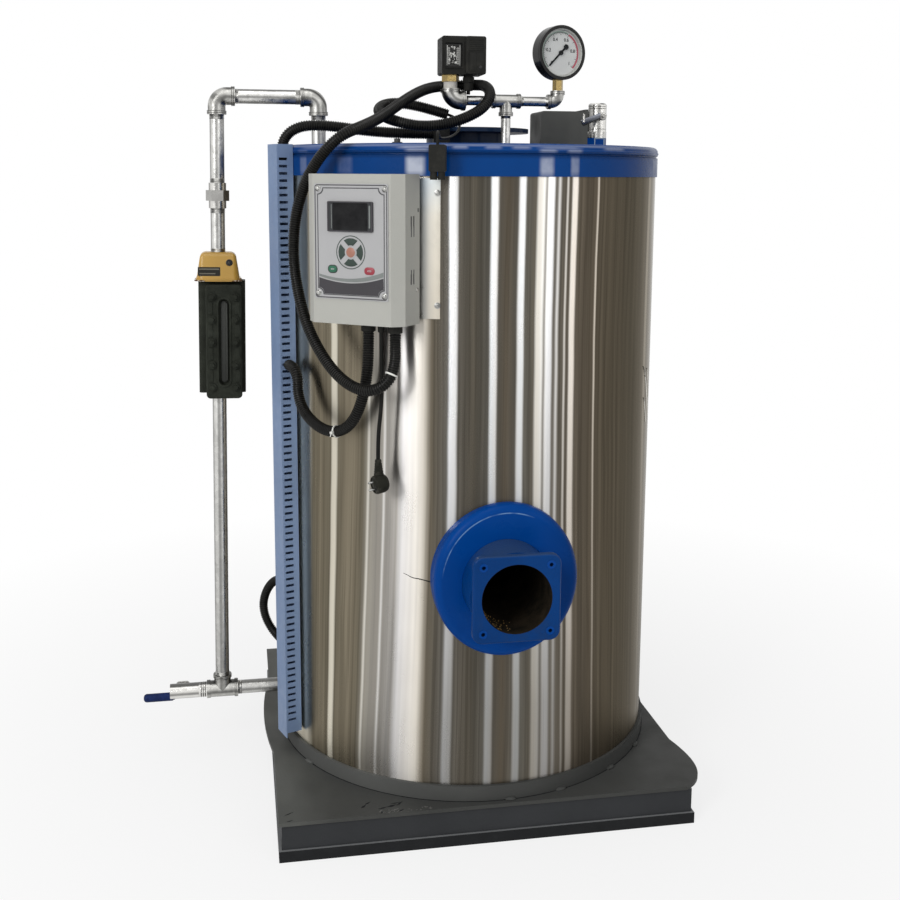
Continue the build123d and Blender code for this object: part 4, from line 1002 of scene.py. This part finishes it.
def show_panel():
    panel = side_frame(CONTROLLER_TURN, 442.1, 1083)
    go, stop, middle, screen = (-35.3, -45.7), (35.8, -46.8), (0, -17), (0, 42)

    def sweep(low, rise, shift):
        return [(x, low + rise * ((x + shift) / 66) ** 2) for x in range(-62, 63, 4)]

    build("panel_border", "panel_line_film", "panel_grey", panel,
          (band, rounded(139, 189, 5, 8), rounded(135.5, 185.5, 4, 8), -0.1, 0.25),
          (band, notched(64.5, 89.5, 10.5), notched(62.9, 87.9, 10.5), -0.1, 0.25))
    corners = arc(10.5, 90, 180, 8, (62.5, -87.5)) + arc(10.5, 0, 90, 8, (-62.5, -87.5))
    build("panel_lower_band", "panel_dark_film", "panel_grey", panel,
          (slab, sweep(-68.5, 10.5, 4) + [(62.5, -77.5)] + corners, -0.1, 0.3))
    build("panel_swoosh", "panel_swoosh_film", "panel_grey", panel,
          (slab, sweep(-61.0, 11.0, 10) + sweep(-66.5, 10.5, 4)[::-1], -0.1, 0.22))
    build("key_sectors", "key_green_film", "key_green", panel,
          *[(slab, arc(23.5, turn - 34, turn + 34, 10, middle) + arc(11.8, turn + 22, turn - 22, 6, middle),
             -0.1, 0.9, 0.3) for turn in (0, 90, 180, 270)], stands_for="controller_keys")
    build("key_outlines", "key_green_film", "key_green", panel,
          (band, arc(28, 0, 350, 47, middle), arc(26.6, 0, 350, 47, middle), -0.1, 0.3),
          (slab, rounded(19, 14, 6.5, 6, go), -0.1, 0.3))
    build("key_go", "key_go_film", "key_green", panel, (slab, rounded(15.5, 10.5, 5, 6, go), -0.1, 0.9, 0.4))
    build("key_stop", "key_stop_film", "key_green", panel,
          (slab, rounded(19.5, 12.5, 5.6, 6, stop), -0.1, 0.9, 0.4))
    build("key_centre", "key_orange_film", "key_green", panel,
          (turned, [(8.4, -0.1), (8.4, 0.7), (7.6, 1.1), (0.4, 1.2)], 36, (*middle, 0)))
    build("key_pale_marks", "panel_pale_film", "panel_grey", panel,
          (turned, [(10.4, -0.1), (10.4, 0.5), (0.4, 0.5)], 36, (*middle, 0)),
          (band, rounded(6.4, 2.2, 1, 4, go), rounded(4.4, 0.8, 0.3, 4, go), 0.9, 1.0),
          (band, rounded(7.4, 2.6, 1, 4, stop), rounded(5.4, 1.0, 0.3, 4, stop), 0.9, 1.0))
    build("screen_display", "screen_glass", "screen_dark", panel,
          (slab, rounded(67, 45, 1.5, 4, (0.5, 42)), 2.4, 2.75))
    # Painted highlights: pale strips at the edges of the display's glass
    build("screen_painted_highlight", "panel_swoosh_film", "screen_dark", panel,
          (slab, rounded(2.6, 37, 1.2, 4, (37.6, 42)), 2.4, 2.75),
          (slab, rounded(1.0, 40, 0.4, 4, (-35.5, 42)), 2.4, 2.7))
    build("screen_rim", "panel_dark_film", "screen_dark", panel,
          (band, rounded(87, 50, 2, 5, screen), rounded(82, 46.5, 1.5, 5, screen), 2.4, 3.1))
    screws = []
    for x, y in ((-63, 88), (65, 87.5), (-63.5, -87), (64, -87.3)):
        screws += [(turned, [(5.2, -0.1), (5.2, 0.6), (4.4, 1.0), (1, 1.0)], 28, (x, y, 0)),
                   (pan_screw, (x, y, 0.8), 4.0, 2.6, random.uniform(0, 90))]
    build("panel_screws", "dull_screw", "chrome", panel, *screws)

    # Fixings on the box's right side and on the bracket
    outward, around = directions(CONTROLLER_TURN)
    side = frame_at(around * 93 + outward * 381 + UP * 1070, -outward, UP)
    build("box_side_screw", "zinc_screw", "chrome", side, (pan_screw, (-1, -67, -0.1), 3.6, 1.8, 35))
    # Painted shade: dark patches standing for the side hole and the vent slots
    build("box_side_hole_shade", "printing_ink", "black_case", side,
          (slab, rounded(3.2, 6.5, 1.2, 4, (2, 66)), -0.1, 0.15))
    build("box_side_slot_shades", "panel_line_film", "black_case", side,
          *[(slab, rounded(2.8, high - low, 1.2, 4, (x, (low + high) / 2)), -0.1, 0.15)
            for x in (-21.8, -12.8) for low, high in ((22, 56), (-57, -32))])
    for index, level in enumerate((1164, 975)):
        build(f"bracket_screw_{index}", "dull_screw", "chrome", side_frame(-18.2, BRACKET_FACE, level),
              (turned, [(5.5, -0.2), (5.5, 0.5), (4.4, 0.8), (1, 0.8)], 24),
              (pan_screw, (0, 0, 0.6), 3.6, 2.2, 50 * index))


# Gauge face

DIAL_START, DIAL_END, RED_START = 225, -45, 63


def digits(bm, text, at, size):
    """Plain number laid on a face."""
    data = bpy.data.curves.new("digits", "FONT")
    data.body = text
    data.size = size
    data.align_x = data.align_y = "CENTER"
    data.extrude = 0.08
    data.offset = 0.16
    holder = bpy.data.objects.new("digits", data)
    bpy.context.scene.collection.objects.link(holder)
    mesh = mesh_of(holder)
    mesh.transform(Matrix.Translation((*at, 0.1)))
    bm.from_mesh(mesh)
    bpy.data.objects.remove(holder)
    bpy.data.curves.remove(data)
    bpy.data.meshes.remove(mesh)


def strokes(bm, count, inner, half):
    """Even strokes of the dial's scale."""
    outer = 36.0
    for i in range(count + 1):
        angle = math.radians(DIAL_START + (DIAL_END - DIAL_START) * i / count)
        along = Vector((math.cos(angle), math.sin(angle)))
        across = Vector((-along.y, along.x)) * half
        corners = ((inner, -1), (outer, -1), (outer, 1), (inner, 1))
        slab(bm, [tuple(along * reach + across * way) for reach, way in corners], -0.1, 0.15)


def show_gauge():
    outward, around = directions(16)
    face = frame_at(Vector((143, -150, 1417)) + outward * 8, around, UP)
    spots = arc(26.0, DIAL_START, DIAL_END, 5)
    build("gauge_print", "printing_ink", "pointer_black", face,
          (strokes, 50, 33.6, 0.22), (strokes, 10, 31.6, 0.42),
          (slab, sector(36.9, 36.0, DIAL_START, RED_START, 60), -0.1, 0.15),
          *[(digits, text, at, 8.4) for text, at in zip(("0", "0.2", "0.4", "0.6", "0.8", "1"), spots)],
          smooth=False)
    build("gauge_red_arc", "red_ink", "dial_white", face,
          (slab, sector(38.6, 35.2, RED_START, DIAL_END, 50), -0.1, 0.2), smooth=False)
    build("gauge_green_arc", "green_ink", "dial_white", face,
          (slab, sector(38.9, 37.3, DIAL_START, RED_START + 3, 60), -0.1, 0.15), smooth=False)
    angle = math.radians(45)
    along, across = Vector((math.cos(angle), math.sin(angle))), Vector((-math.sin(angle), math.cos(angle)))
    tail = [(2, 1.6), (10, 1.6), (13, 4.6), (18, 4.6), (20.5, 0), (18, -4.6), (13, -4.6), (10, -1.6),
            (2, -1.6)]
    build("gauge_pointer_tail", "printing_ink", "pointer_black", face,
          (slab, [tuple(along * a + across * b) for a, b in tail], 1.6, 2.6),
          (turned, [(4.4, 0.8), (4.4, 3.0), (3.4, 3.6), (0.5, 3.7)], 28))
    build("gauge_inner_ring", "gauge_inner_enamel", "chrome", face,
          (hoop, [(42.5, 1.0), (43.2, 1.0), (43.2, 6.4), (41.4, 5.4), (40.2, 1.0)], 64))
    build("gauge_bezel", "black_gloss_enamel", "black_case", face,
          (hoop, [(43.6, 6.6), (47.4, 6.6), (48.9, 5.2), (49.3, 2.0), (48.6, 2.0)], 72))


# Pressure switch: works behind the window, ribs on the cover and the gland below

def show_switch():
    window = frame_at((-57.5, -169, 1407), RIGHT, UP)
    cover = frame_at((-17.5, -181, 1407), RIGHT, UP)
    under = frame_at((-26, -152, 1373.5), RIGHT, BACK)
    build("switch_back", "black_gloss_enamel", "black_case", window, (slab, rounded(29, 40, 1.5), 0.1, 0.8))
    works = []
    for _ in range(26):
        x, y, w, h, top = (random.uniform(*span)
                           for span in ((-10, 10), (-15, 15), (1.2, 4.6), (1.4, 5.2), (1.6, 4.0)))
        works.append((slab, rounded(w, h, 0.4, 2, (x, y)), 0.7, top, 0.3))
    works += [(turned, [(2.3, 0), (2.8, 0.5), (2.3, 1.0)], 12, (x, -14 + 3.2 * i, 1.5))
              for x in (-8.5, 8.0) for i in range(9)]
    works += [(slab, rounded(1.6, 36, 0.5, 3, (x, 0)), 0.7, 2.6, 0.3) for x in (-11.6, 11.6)]
    build("switch_works", "switch_works_silver", "chrome", window, *works)
    build("switch_cover_ribs", "black_plastic", "black_case", cover,
          *[(slab, rounded(27, 1.5, 0.6, 3, (0, 27 - 3.6 * i)), -0.2, 0.8, 0.3) for i in range(6)],
          (band, rounded(29, 36, 2.5, 5, (0, -11)), rounded(27, 34, 1.8, 5, (0, -11)), -0.2, 0.8),
          (slab, rounded(11, 30, 1.5, 4, (-5.5, -11)), -0.2, 0.5, 0.2))
    build("switch_cover_screw", "black_screw", "chrome", cover, (pan_screw, (8, -21, -0.1), 3.0, 1.6, 30))
    build("switch_window_rim", "black_plastic", "black_case", window,
          (band, rounded(36, 47, 2.5, 5), rounded(32, 43, 2, 5), 5.9, 7.4))
    build("switch_gland", "black_plastic", "black_case", under,
          (turned, [(9, 0.1), (9, -3), (11.4, -3.2), (11.4, -13), (9.4, -14)], 36, (0, 0, 0), (2, 3)),
          (turned, [(8.6, -13), (9.6, -14.5), (9.6, -24), (7.6, -27.5), (4.0, -28)], 36, (0, 0, 0), (1, 2)))
    build("switch_gland_cable", "cord_rubber", "cord_black", under,
          (turned, [(3.4, -26), (3.4, -33), (3.0, -34)], 18))


# Level column: bolts on the float cover, its rim, the cap's fittings and threads at the pipe ends

LEAN = math.radians(0.85)
COLUMN_UP = Vector((math.sin(LEAN), 0, math.cos(LEAN)))
COLUMN_RIGHT = Vector((math.cos(LEAN), 0, -math.sin(LEAN)))
COLUMN_FOOT = Vector((-497.6, 0, 158))
COLUMN_HEIGHT = (1247 + 92 - 158) / math.cos(LEAN)
FLOAT_BASE = COLUMN_HEIGHT - 566
FLOAT_TOP = FLOAT_BASE + 218
UNION_FOOT = COLUMN_HEIGHT - 210


def on_column(rise):
    return COLUMN_FOOT + COLUMN_UP * rise


def threads(name, slot, ends, longest, *size):
    """Threads of uneven length at pipe ends."""
    build(name, "galvanized_casting", slot, IN_METRES,
          *[(thread, start - along, start + along * random.uniform(*longest), *size)
            for start, along in ends])


def beads(name, slot, ends, steps, width, *size):
    """Raised rings at the mouths of fittings."""
    build(name, "galvanized_casting", slot, IN_METRES,
          *[(thread, start - along * (step + width), start - along * step, radius, *size)
            for start, along, radius in ends for step in steps])


def show_column():
    cover = frame_at(on_column(FLOAT_BASE) + COLUMN_RIGHT * 10 - BACK * 38, COLUMN_RIGHT, COLUMN_UP)
    middle, row_pitch = 102, 43.75

    def pill(width, height):
        return rounded(width, height, width / 2 - 0.01, 10, (0, middle))

    def on_cover(name, *shapes, look="black_casting"):
        build(name, look, "black_casting", cover, *shapes)

    on_cover("float_cover_bolts", *[(hex_bolt, (x, middle + (row - 2) * row_pitch, 3.0), 7.2, 4.2, 1.2)
                                    for x in (-22, 22) for row in range(5)])
    on_cover("float_window_rim", (band, pill(27, 174), pill(20.5, 167.5), -0.5, 2.2))
    on_cover("float_window_tube", (slab, pill(11, 158), -10.2, -6.5, 1.5),
             (slab, rounded(3, 150, 1.4, 4, (5.2, middle)), -7.5, -4.2, 0.8), look="window_tube")
    on_cover("float_cover_pads",
             *[(slab, rounded(9, 24, 1.5, 4, (x, middle + (row - 1.5) * row_pitch)), -0.5, 1.2, 0.5)
               for x in (-25.5, 25.5) for row in range(4)])

    # Joint between cap and housing: torn gasket and sealant
    top = frame_at(on_column(FLOAT_TOP), COLUMN_RIGHT, BACK)
    edge = rounded(84, 63, 14, 14)
    for look, count, shift in (("gasket_brown", 46, 0.0), ("gasket_pale", 26, 1.1)):
        scraps = []
        for i in range(count):
            at = edge[int((i + shift) * len(edge) / count) % len(edge)]
            wide, tall = random.uniform(2.2, 6.0), random.uniform(0.8, 3.2)
            turn = math.atan2(at[1], at[0]) + math.pi / 2
            shape = [(wide * random.uniform(0.35, 0.55) * math.cos(2 * math.pi * k / 7 + turn) * 1.3 + at[0],
                      2.0 * random.uniform(0.5, 1.0) * math.sin(2 * math.pi * k / 7 + turn) + at[1])
                     for k in range(7)]
            scraps.append((slab, shape, 0.1, tall, 0.3))
        build("cap_" + look, look, "black_casting", top, *scraps)
    build("cap_foot_bead", "yellow_paint", "yellow_paint", top,
          (band, rounded(84.4, 63.4, 14.5, 10), rounded(80, 59, 13, 10), 2.5, 5.5))

    # Plain label patch and screw on the cap's front
    slope = math.radians(9)
    leaning_up = (COLUMN_UP * math.cos(slope) + BACK * math.sin(slope)).normalized()
    front = frame_at(on_column(FLOAT_TOP) - BACK * 31, COLUMN_RIGHT, leaning_up)
    build("cap_label", "label_dark", "yellow_paint", front,
          (slab, rounded(42, 17, 1.2, 4, (-17, 19)), -0.6, 0.35))
    build("cap_label_bars", "label_pale", "yellow_paint", front,
          (slab, rounded(38, 2.6, 0.5, 3, (-17, 23.5)), -0.6, 0.5),
          (slab, rounded(30, 2.2, 0.5, 3, (-20, 15)), -0.6, 0.5))
    build("cap_screw", "black_screw", "black_casting", front,
          (turned, [(6.4, -1), (6.4, 1.2), (5.0, 1.8), (4.4, 0.4), (0.6, 0.4)], 26, (21, 36, 0)),
          (pan_screw, (21, 36, 0.3), 3.4, 1.8, 10))

    # Threads where pipes enter fittings
    head = on_column(COLUMN_HEIGHT)
    nipple = Vector((-289, 0, head.z))
    ends = [
        (head + RIGHT * 34, RIGHT), (nipple - RIGHT * 34, -RIGHT), (nipple - UP * 34, -UP),
        (head - COLUMN_UP * 34, -COLUMN_UP), (COLUMN_FOOT + COLUMN_UP * 31, COLUMN_UP),
        (COLUMN_FOOT + RIGHT * 31, RIGHT), (on_column(UNION_FOOT), -COLUMN_UP),
        (on_column(UNION_FOOT + 48), COLUMN_UP), (on_column(FLOAT_TOP + 55), COLUMN_UP),
    ]
    threads("column_threads", "galvanized", ends, (6, 10), 13.55, 2.2, 0.55)
    beads("column_beads", "galvanized", [(*end, 18.0) for end in ends[:6]], (2.0, 5.2), 1.2, 0.6, 0.7)
    tee = Vector((45, -150, 1329))
    ends = [(tee + RIGHT * 27, RIGHT), (tee - RIGHT * 27, -RIGHT), (tee - UP * 27, -UP),
            (tee + RIGHT * 78, -RIGHT), (tee - RIGHT * 77, RIGHT)]
    threads("manifold_threads", "galvanized", ends, (4, 7), 8.75, 1.8, 0.5)
    small, large = 13.2, 18.2
    mouths = [(*end, small) for end in ends[:4]]
    mouths += [(tee + RIGHT * 98 + UP * 20, UP, small), (*ends[4], large),
               (tee - RIGHT * 104 + UP * 20.5, UP, large)]
    beads("manifold_beads", "galvanized", mouths, (1.5, 4.6), 1.2, 0.6, 0.6)
    drain_mouth = (Vector((-528.6, 0, 158)), RIGHT, 14.6)
    beads("drain_threads", "chrome", [drain_mouth], (2.5, 6.5, 10.5), 2.0, 1.0, 0.8)


# Ties on the conduits, marks of wear, the burner's flange, the lid and the steam valve

JACKET_SKIN = 370.05
PLATE_SKIN = (73.8, 74.25)
# Scratches on the base plate: both ends and half width
SCRATCHES = [
    ((-253, -361), (-243, -351), 1.6), ((-245, -350), (-234, -342), 1.1), ((-223, -369), (-205, -364), 1.3),
    ((-207, -365), (-188, -359), 2.0), ((-190, -364), (-176, -349), 1.2), ((-199, -355), (-182, -353), 1.0),
    ((-189, -384), (-177, -376), 1.2), ((-219, -385), (-217, -378), 1.2), ((-389, -363), (-373, -354), 0.9),
    ((-386, -384), (-374, -380), 0.8),
]
# Crease in the jacket, drawn as a black ridge for its painted shade: angle, level and half width
CREASE = [
    (-27.6, 496.5, 0.3), (-26.5, 493.9, 0.5), (-25.6, 491.2, 0.7), (-24.8, 489.5, 0.8), (-22.8, 488.2, 0.9),
    (-21.2, 486.2, 1.0), (-20.0, 484.6, 1.1),
]
# Dents in the jacket, raised in a paler steel as their painted highlights: shift round it in degrees, drop and
# size
DENTS = [(0.0, 0, 1.0), (2.2, 20, 0.8), (4.6, 8, 0.6), (1.2, 62, 0.5)]
# Angles of the weld tacks at the foot ring
TACKS = (-62, 2.6, 18.1, 38.0, 55, 80, 130, 180, 230, 265)


def tie(name, line, near):
    """White cable tie round a conduit, with its head and tail."""
    radius, near = 10, Vector(near) * MM
    index = min(range(1, len(line) - 1), key=lambda i: (line[i] - near).length)
    along = (line[index + 1] - line[index - 1]).normalized()
    side = Vector((along.y, -along.x, 0)).normalized() if abs(along.z) < 0.95 else -BACK
    turn = Matrix((side, along.cross(side), along)).transposed().to_4x4()
    tail = [Vector((radius + 2 + 2.2 * i, 1.2 * i + 0.25 * i * i, 0)) for i in range(4)]
    strip = [Vector(p) for p in ((0, 0, -1.2), (0.4, 0.8, -1.2), (0.4, 0.8, 1.2), (0, 0, 1.2))]
    build(name, "tie_nylon", "white_bush", Matrix.Translation(line[index]) @ turn @ IN_METRES,
          (band, arc(radius + 1.5, 0, 352, 44), arc(radius + 0.1, 0, 352, 44), -1.5, 1.5),
          (slab, rounded(6.0, 4.5, 1, 3, (radius + 2.6, 0)), -2.6, 2.6, 0.5),
          (loft, [[p + corner for corner in strip] for p in tail]))


def ridge(bm, path, height):
    """Low ridge on the jacket along a path of (angle, level, half width)."""
    section = ((1, 0), (0.4, height), (-0.4, height), (-1, 0))
    loft(bm, [[directions(turn)[0] * (JACKET_SKIN + out) + UP * (level + half * rise)
               for rise, out in section] for turn, level, half in path])


def mark(bm, start, end, half):
    """Thin tapered mark that lies on the base plate."""
    start, end = Vector(start), Vector(end)
    across = Vector((start.y - end.y, end.x - start.x)).normalized() * half * 1.7
    middle = start.lerp(end, 0.45)
    slab(bm, [tuple(p) for p in (start, middle - across, end, middle + across * 0.7)], *PLATE_SKIN)


def tack(bm):
    """Uneven drop of weld."""
    before = len(bm.verts)
    bmesh.ops.create_icosphere(bm, subdivisions=2, radius=1.0)
    for v in list(bm.verts)[before:]:
        spot = Vector((v.co.x * random.uniform(9, 12), v.co.y * 4.2, v.co.z * 5.5))
        v.co = spot * random.uniform(0.85, 1.1)


def speck(bm, size):
    bmesh.ops.create_icosphere(bm, subdivisions=1, radius=size)


def show_wear():
    build("ring_weld_tacks", "ring_paint", "ring_grey", Matrix(),
          *[(placed, side_frame(turn, 377.5, 75.5), tack) for turn in TACKS])
    # Painted contact shadow: a black band along the ring's foot at the joint
    build("ring_foot_shadow", "printing_ink", "ring_grey", IN_METRES,
          (band, arc(377.6, 0, 357.5, 143), arc(375.7, 0, 357.5, 143), 73.6, 74.5))
    build("base_scratches", "printing_ink", "base_paint", IN_METRES,
          *[(mark, *scratch) for scratch in SCRATCHES])
    chips = []
    for _ in range(34):
        x, y = random.uniform(-226, -130), random.uniform(-386, -374)
        end = (x + random.uniform(2, 8), y + random.uniform(-1.5, 2.5))
        chips.append((mark, (x, y), end, random.uniform(0.5, 1.4)))
    build("base_chips", "paint_chips", "base_paint", IN_METRES, *chips)
    # Painted shade: the crease is drawn black
    build("jacket_crease", "printing_ink", "stainless", IN_METRES, (ridge, CREASE, 0.5))
    # Painted highlights: the dents' ridges are in a paler steel
    build("jacket_dents", "seam_steel", "stainless", IN_METRES,
          *[(ridge, [(55.5 + shift + 8 * size * i / 6, 838 - drop - 105 * size * (i / 6) ** 1.4,
                      1.5 * math.sin(math.pi * (i + 0.5) / 7)) for i in range(7)], 1.1)
            for shift, drop, size in DENTS])


def show_burner():
    """Paint rings round the flange's tapped holes, and rust specks in the bore."""
    face, level, hole, bore = -478, BURNER_HEIGHT / MM, 58, 60.3
    build("flange_hole_rims", "blue_paint", "blue_paint", frame_at((0, face, level), RIGHT, UP),
          *[(band, arc(7.4, 0, 345, 23, (x, y)), arc(3.4, 0, 345, 23, (x, y)), -0.2, 0.7)
            for x in (-hole, hole) for y in (-hole, hole)])
    specks = []
    for _ in range(70):
        turn = math.radians(random.gauss(225, 26))
        deep = random.uniform(4, 60)
        across, rise = math.cos(turn), math.sin(turn)
        spot = frame_at((bore * across, face + deep, level + bore * rise), (-rise, 0, across), BACK)
        specks.append((placed, spot, speck, random.uniform(0.5, 1.5)))
    build("bore_rust", "rust_specks", "furnace_steel", Matrix(), *specks)


def show_lid():
    build("lid_bead", "lid_paint", "blue_paint", IN_METRES,
          (hoop, [(373.05, 1233), (374.2, 1234.2), (374.2, 1236), (373.05, 1237.2)], 160))
    build("lid_bolt", "black_screw", "chrome", frame_at((-176, -290, 1247), RIGHT, BACK),
          (hex_bolt, (0, 0, 0), 9, 6, 2))


def show_steam_valve():
    """Lever of the steam valve with its nut, hub and pin, painted highlights on the socket, rings on the body.
    """
    def on_lever(name, look, where, *shapes, **more):
        build(name, look, "chrome", where, *shapes, body="steam_handle", **more)

    stem, level = 249, 1307
    slope = math.radians(22)
    grip = frame_at((stem, -90, level), (-math.cos(slope), 0, -math.sin(slope)),
                    (math.sin(slope), 0, -math.cos(slope)))
    on_lever("steam_lever_nut", "zinc_screw", frame_at((stem, -98.1, level), RIGHT, UP),
             (hex_bolt, (0, 0, -0.2), 5.2, 3.5, 0.8))
    on_lever("steam_lever_grip", "dark_steel", grip, (slab, rounded(40, 9, 1.6, 4, (23, -4)), 0.0, 7.5, 0.8),
             stands_for="steam_lever")
    # Painted shadow: a dark strip along the grip's lower edge
    on_lever("steam_lever_shadow_strip", "black_screw", grip,
             (slab, rounded(37, 3.4, 1.2, 4, (23.5, 1.6)), 0.6, 6.6, 0.5))
    on_lever("steam_lever_hub", "nickel_plate", grip,
             (turned, [(7.6, 0.1), (7.6, 6.4), (6.8, 7.4), (0.5, 7.9)], 28))
    on_lever("steam_lever_pin", "zinc_screw", frame_at((211, -96, 1303), RIGHT, BACK),
             (turned, [(1.5, -8.0), (2.2, -7.4), (2.2, 7.4), (1.5, 8.0)], 20))
    # Painted highlights: pale upright streaks and a top line on the socket
    build("steam_socket_highlights", "blue_paint_worn", "blue_paint", frame_at((stem, -76.6, 1257), RIGHT, UP),
          *[(slab, rounded(1.8, 16, 0.6, 3, (x, 0)), -0.4, 0.4, 0.1) for x in (-9.3, 9.3)],
          (slab, rounded(20, 1.8, 0.6, 3, (0, 8.6)), -0.4, 0.4, 0.1))
    build("steam_valve_rings", "nickel_plate", "chrome", IN_METRES,
          *[(thread, Vector((stem, -60, z)), Vector((stem, -60, z + 1.6)), 17.4, 0.8, 0.7, 36)
            for z in (1283, 1322, 1326)])


show_panel()
show_gauge()
show_switch()
show_column()
tie("tie_long", long_line, (-197, -376, 861))
tie("tie_duct", duct_line, (-284, -282, 746))
show_wear()
show_burner()
show_lid()
show_steam_valve()


# Floor, world and lamps

def stage():
    bm = bmesh.new()
    bm.faces.new([bm.verts.new((*p, 0)) for p in arc(14, 0, 356.25, 95)])
    mesh = bpy.data.meshes.new("floor")
    bm.to_mesh(mesh)
    bm.free()
    floor = bpy.data.objects.new("floor", mesh)
    bpy.context.scene.collection.objects.link(floor)
    look = Look("floor_paper", (0.80, 0.80, 0.80), 0.8)
    glow = look.node("Emission")
    glow.inputs["Strength"].default_value = 1.0
    axis = look.axes()
    far = look.ramp(look.math("DIVIDE", look.reach(axis[0], axis[1]), 5.0), [(0.10, 0.80), (0.36, 1.0)])
    rays = look.node("LightPath").outputs
    seen = look.most(look.most(rays["Is Camera Ray"], rays["Is Transmission Ray"]), rays["Is Glossy Ray"])
    blend = look.node("MixShader")
    look.fill(blend, look.times(far, seen), look.shader.outputs["BSDF"], glow.outputs["Emission"])
    look.link(blend.outputs["Shader"], look.tree.nodes["Material Output"].inputs["Surface"])
    mesh.materials.append(look.mat)


def world():
    """White where it is seen, directly or in metal and glass; dimmer as a light."""
    made = bpy.data.worlds.new("studio")
    bpy.context.scene.world = made
    made.use_nodes = True
    tree = made.node_tree
    back = tree.nodes["Background"]
    back.inputs["Color"].default_value = (1, 1, 1, 1)
    rays = tree.nodes.new("ShaderNodeLightPath")
    level = None
    for name in ("Is Camera Ray", "Is Transmission Ray", "Is Glossy Ray"):
        most = tree.nodes.new("ShaderNodeMath")
        most.operation = "MAXIMUM"
        most.inputs[1].default_value = 0.34
        tree.links.new(rays.outputs[name], most.inputs[0])
        if level is not None:
            tree.links.new(level, most.inputs[1])
        level = most.outputs["Value"]
    tree.links.new(level, back.inputs["Strength"])


def lamp(name, azimuth, distance, height, width, tall, power):
    """Soft box that looks at the boiler's middle."""
    data = bpy.data.lights.new(name, "AREA")
    data.shape = "RECTANGLE"
    data.size, data.size_y, data.energy = width, tall, power
    made = bpy.data.objects.new(name, data)
    made.location = directions(azimuth)[0] * distance + UP * height
    made.rotation_euler = (UP * 0.7 - made.location).to_track_quat("-Z", "Y").to_euler()
    bpy.context.scene.collection.objects.link(made)


stage()
world()
lamp("lamp_key", -44, 4.4, 2.7, 1.3, 2.0, 86)
lamp("lamp_left_strip", -20, 4.8, 2.5, 0.22, 2.0, 8)
lamp("lamp_middle_strip", 5, 5.2, 2.5, 0.18, 2.0, 6)
lamp("lamp_right_middle_strip", 22, 5.0, 2.5, 0.16, 2.0, 6)
lamp("lamp_right_window", 37, 4.8, 2.5, 0.45, 2.0, 10)
lamp("lamp_right_strip", 57, 4.8, 2.5, 0.2, 2.0, 4)
lamp("lamp_top", -20, 1.6, 4.4, 2.0, 2.0, 22)

bpy.context.scene.view_settings.view_transform = "Standard"
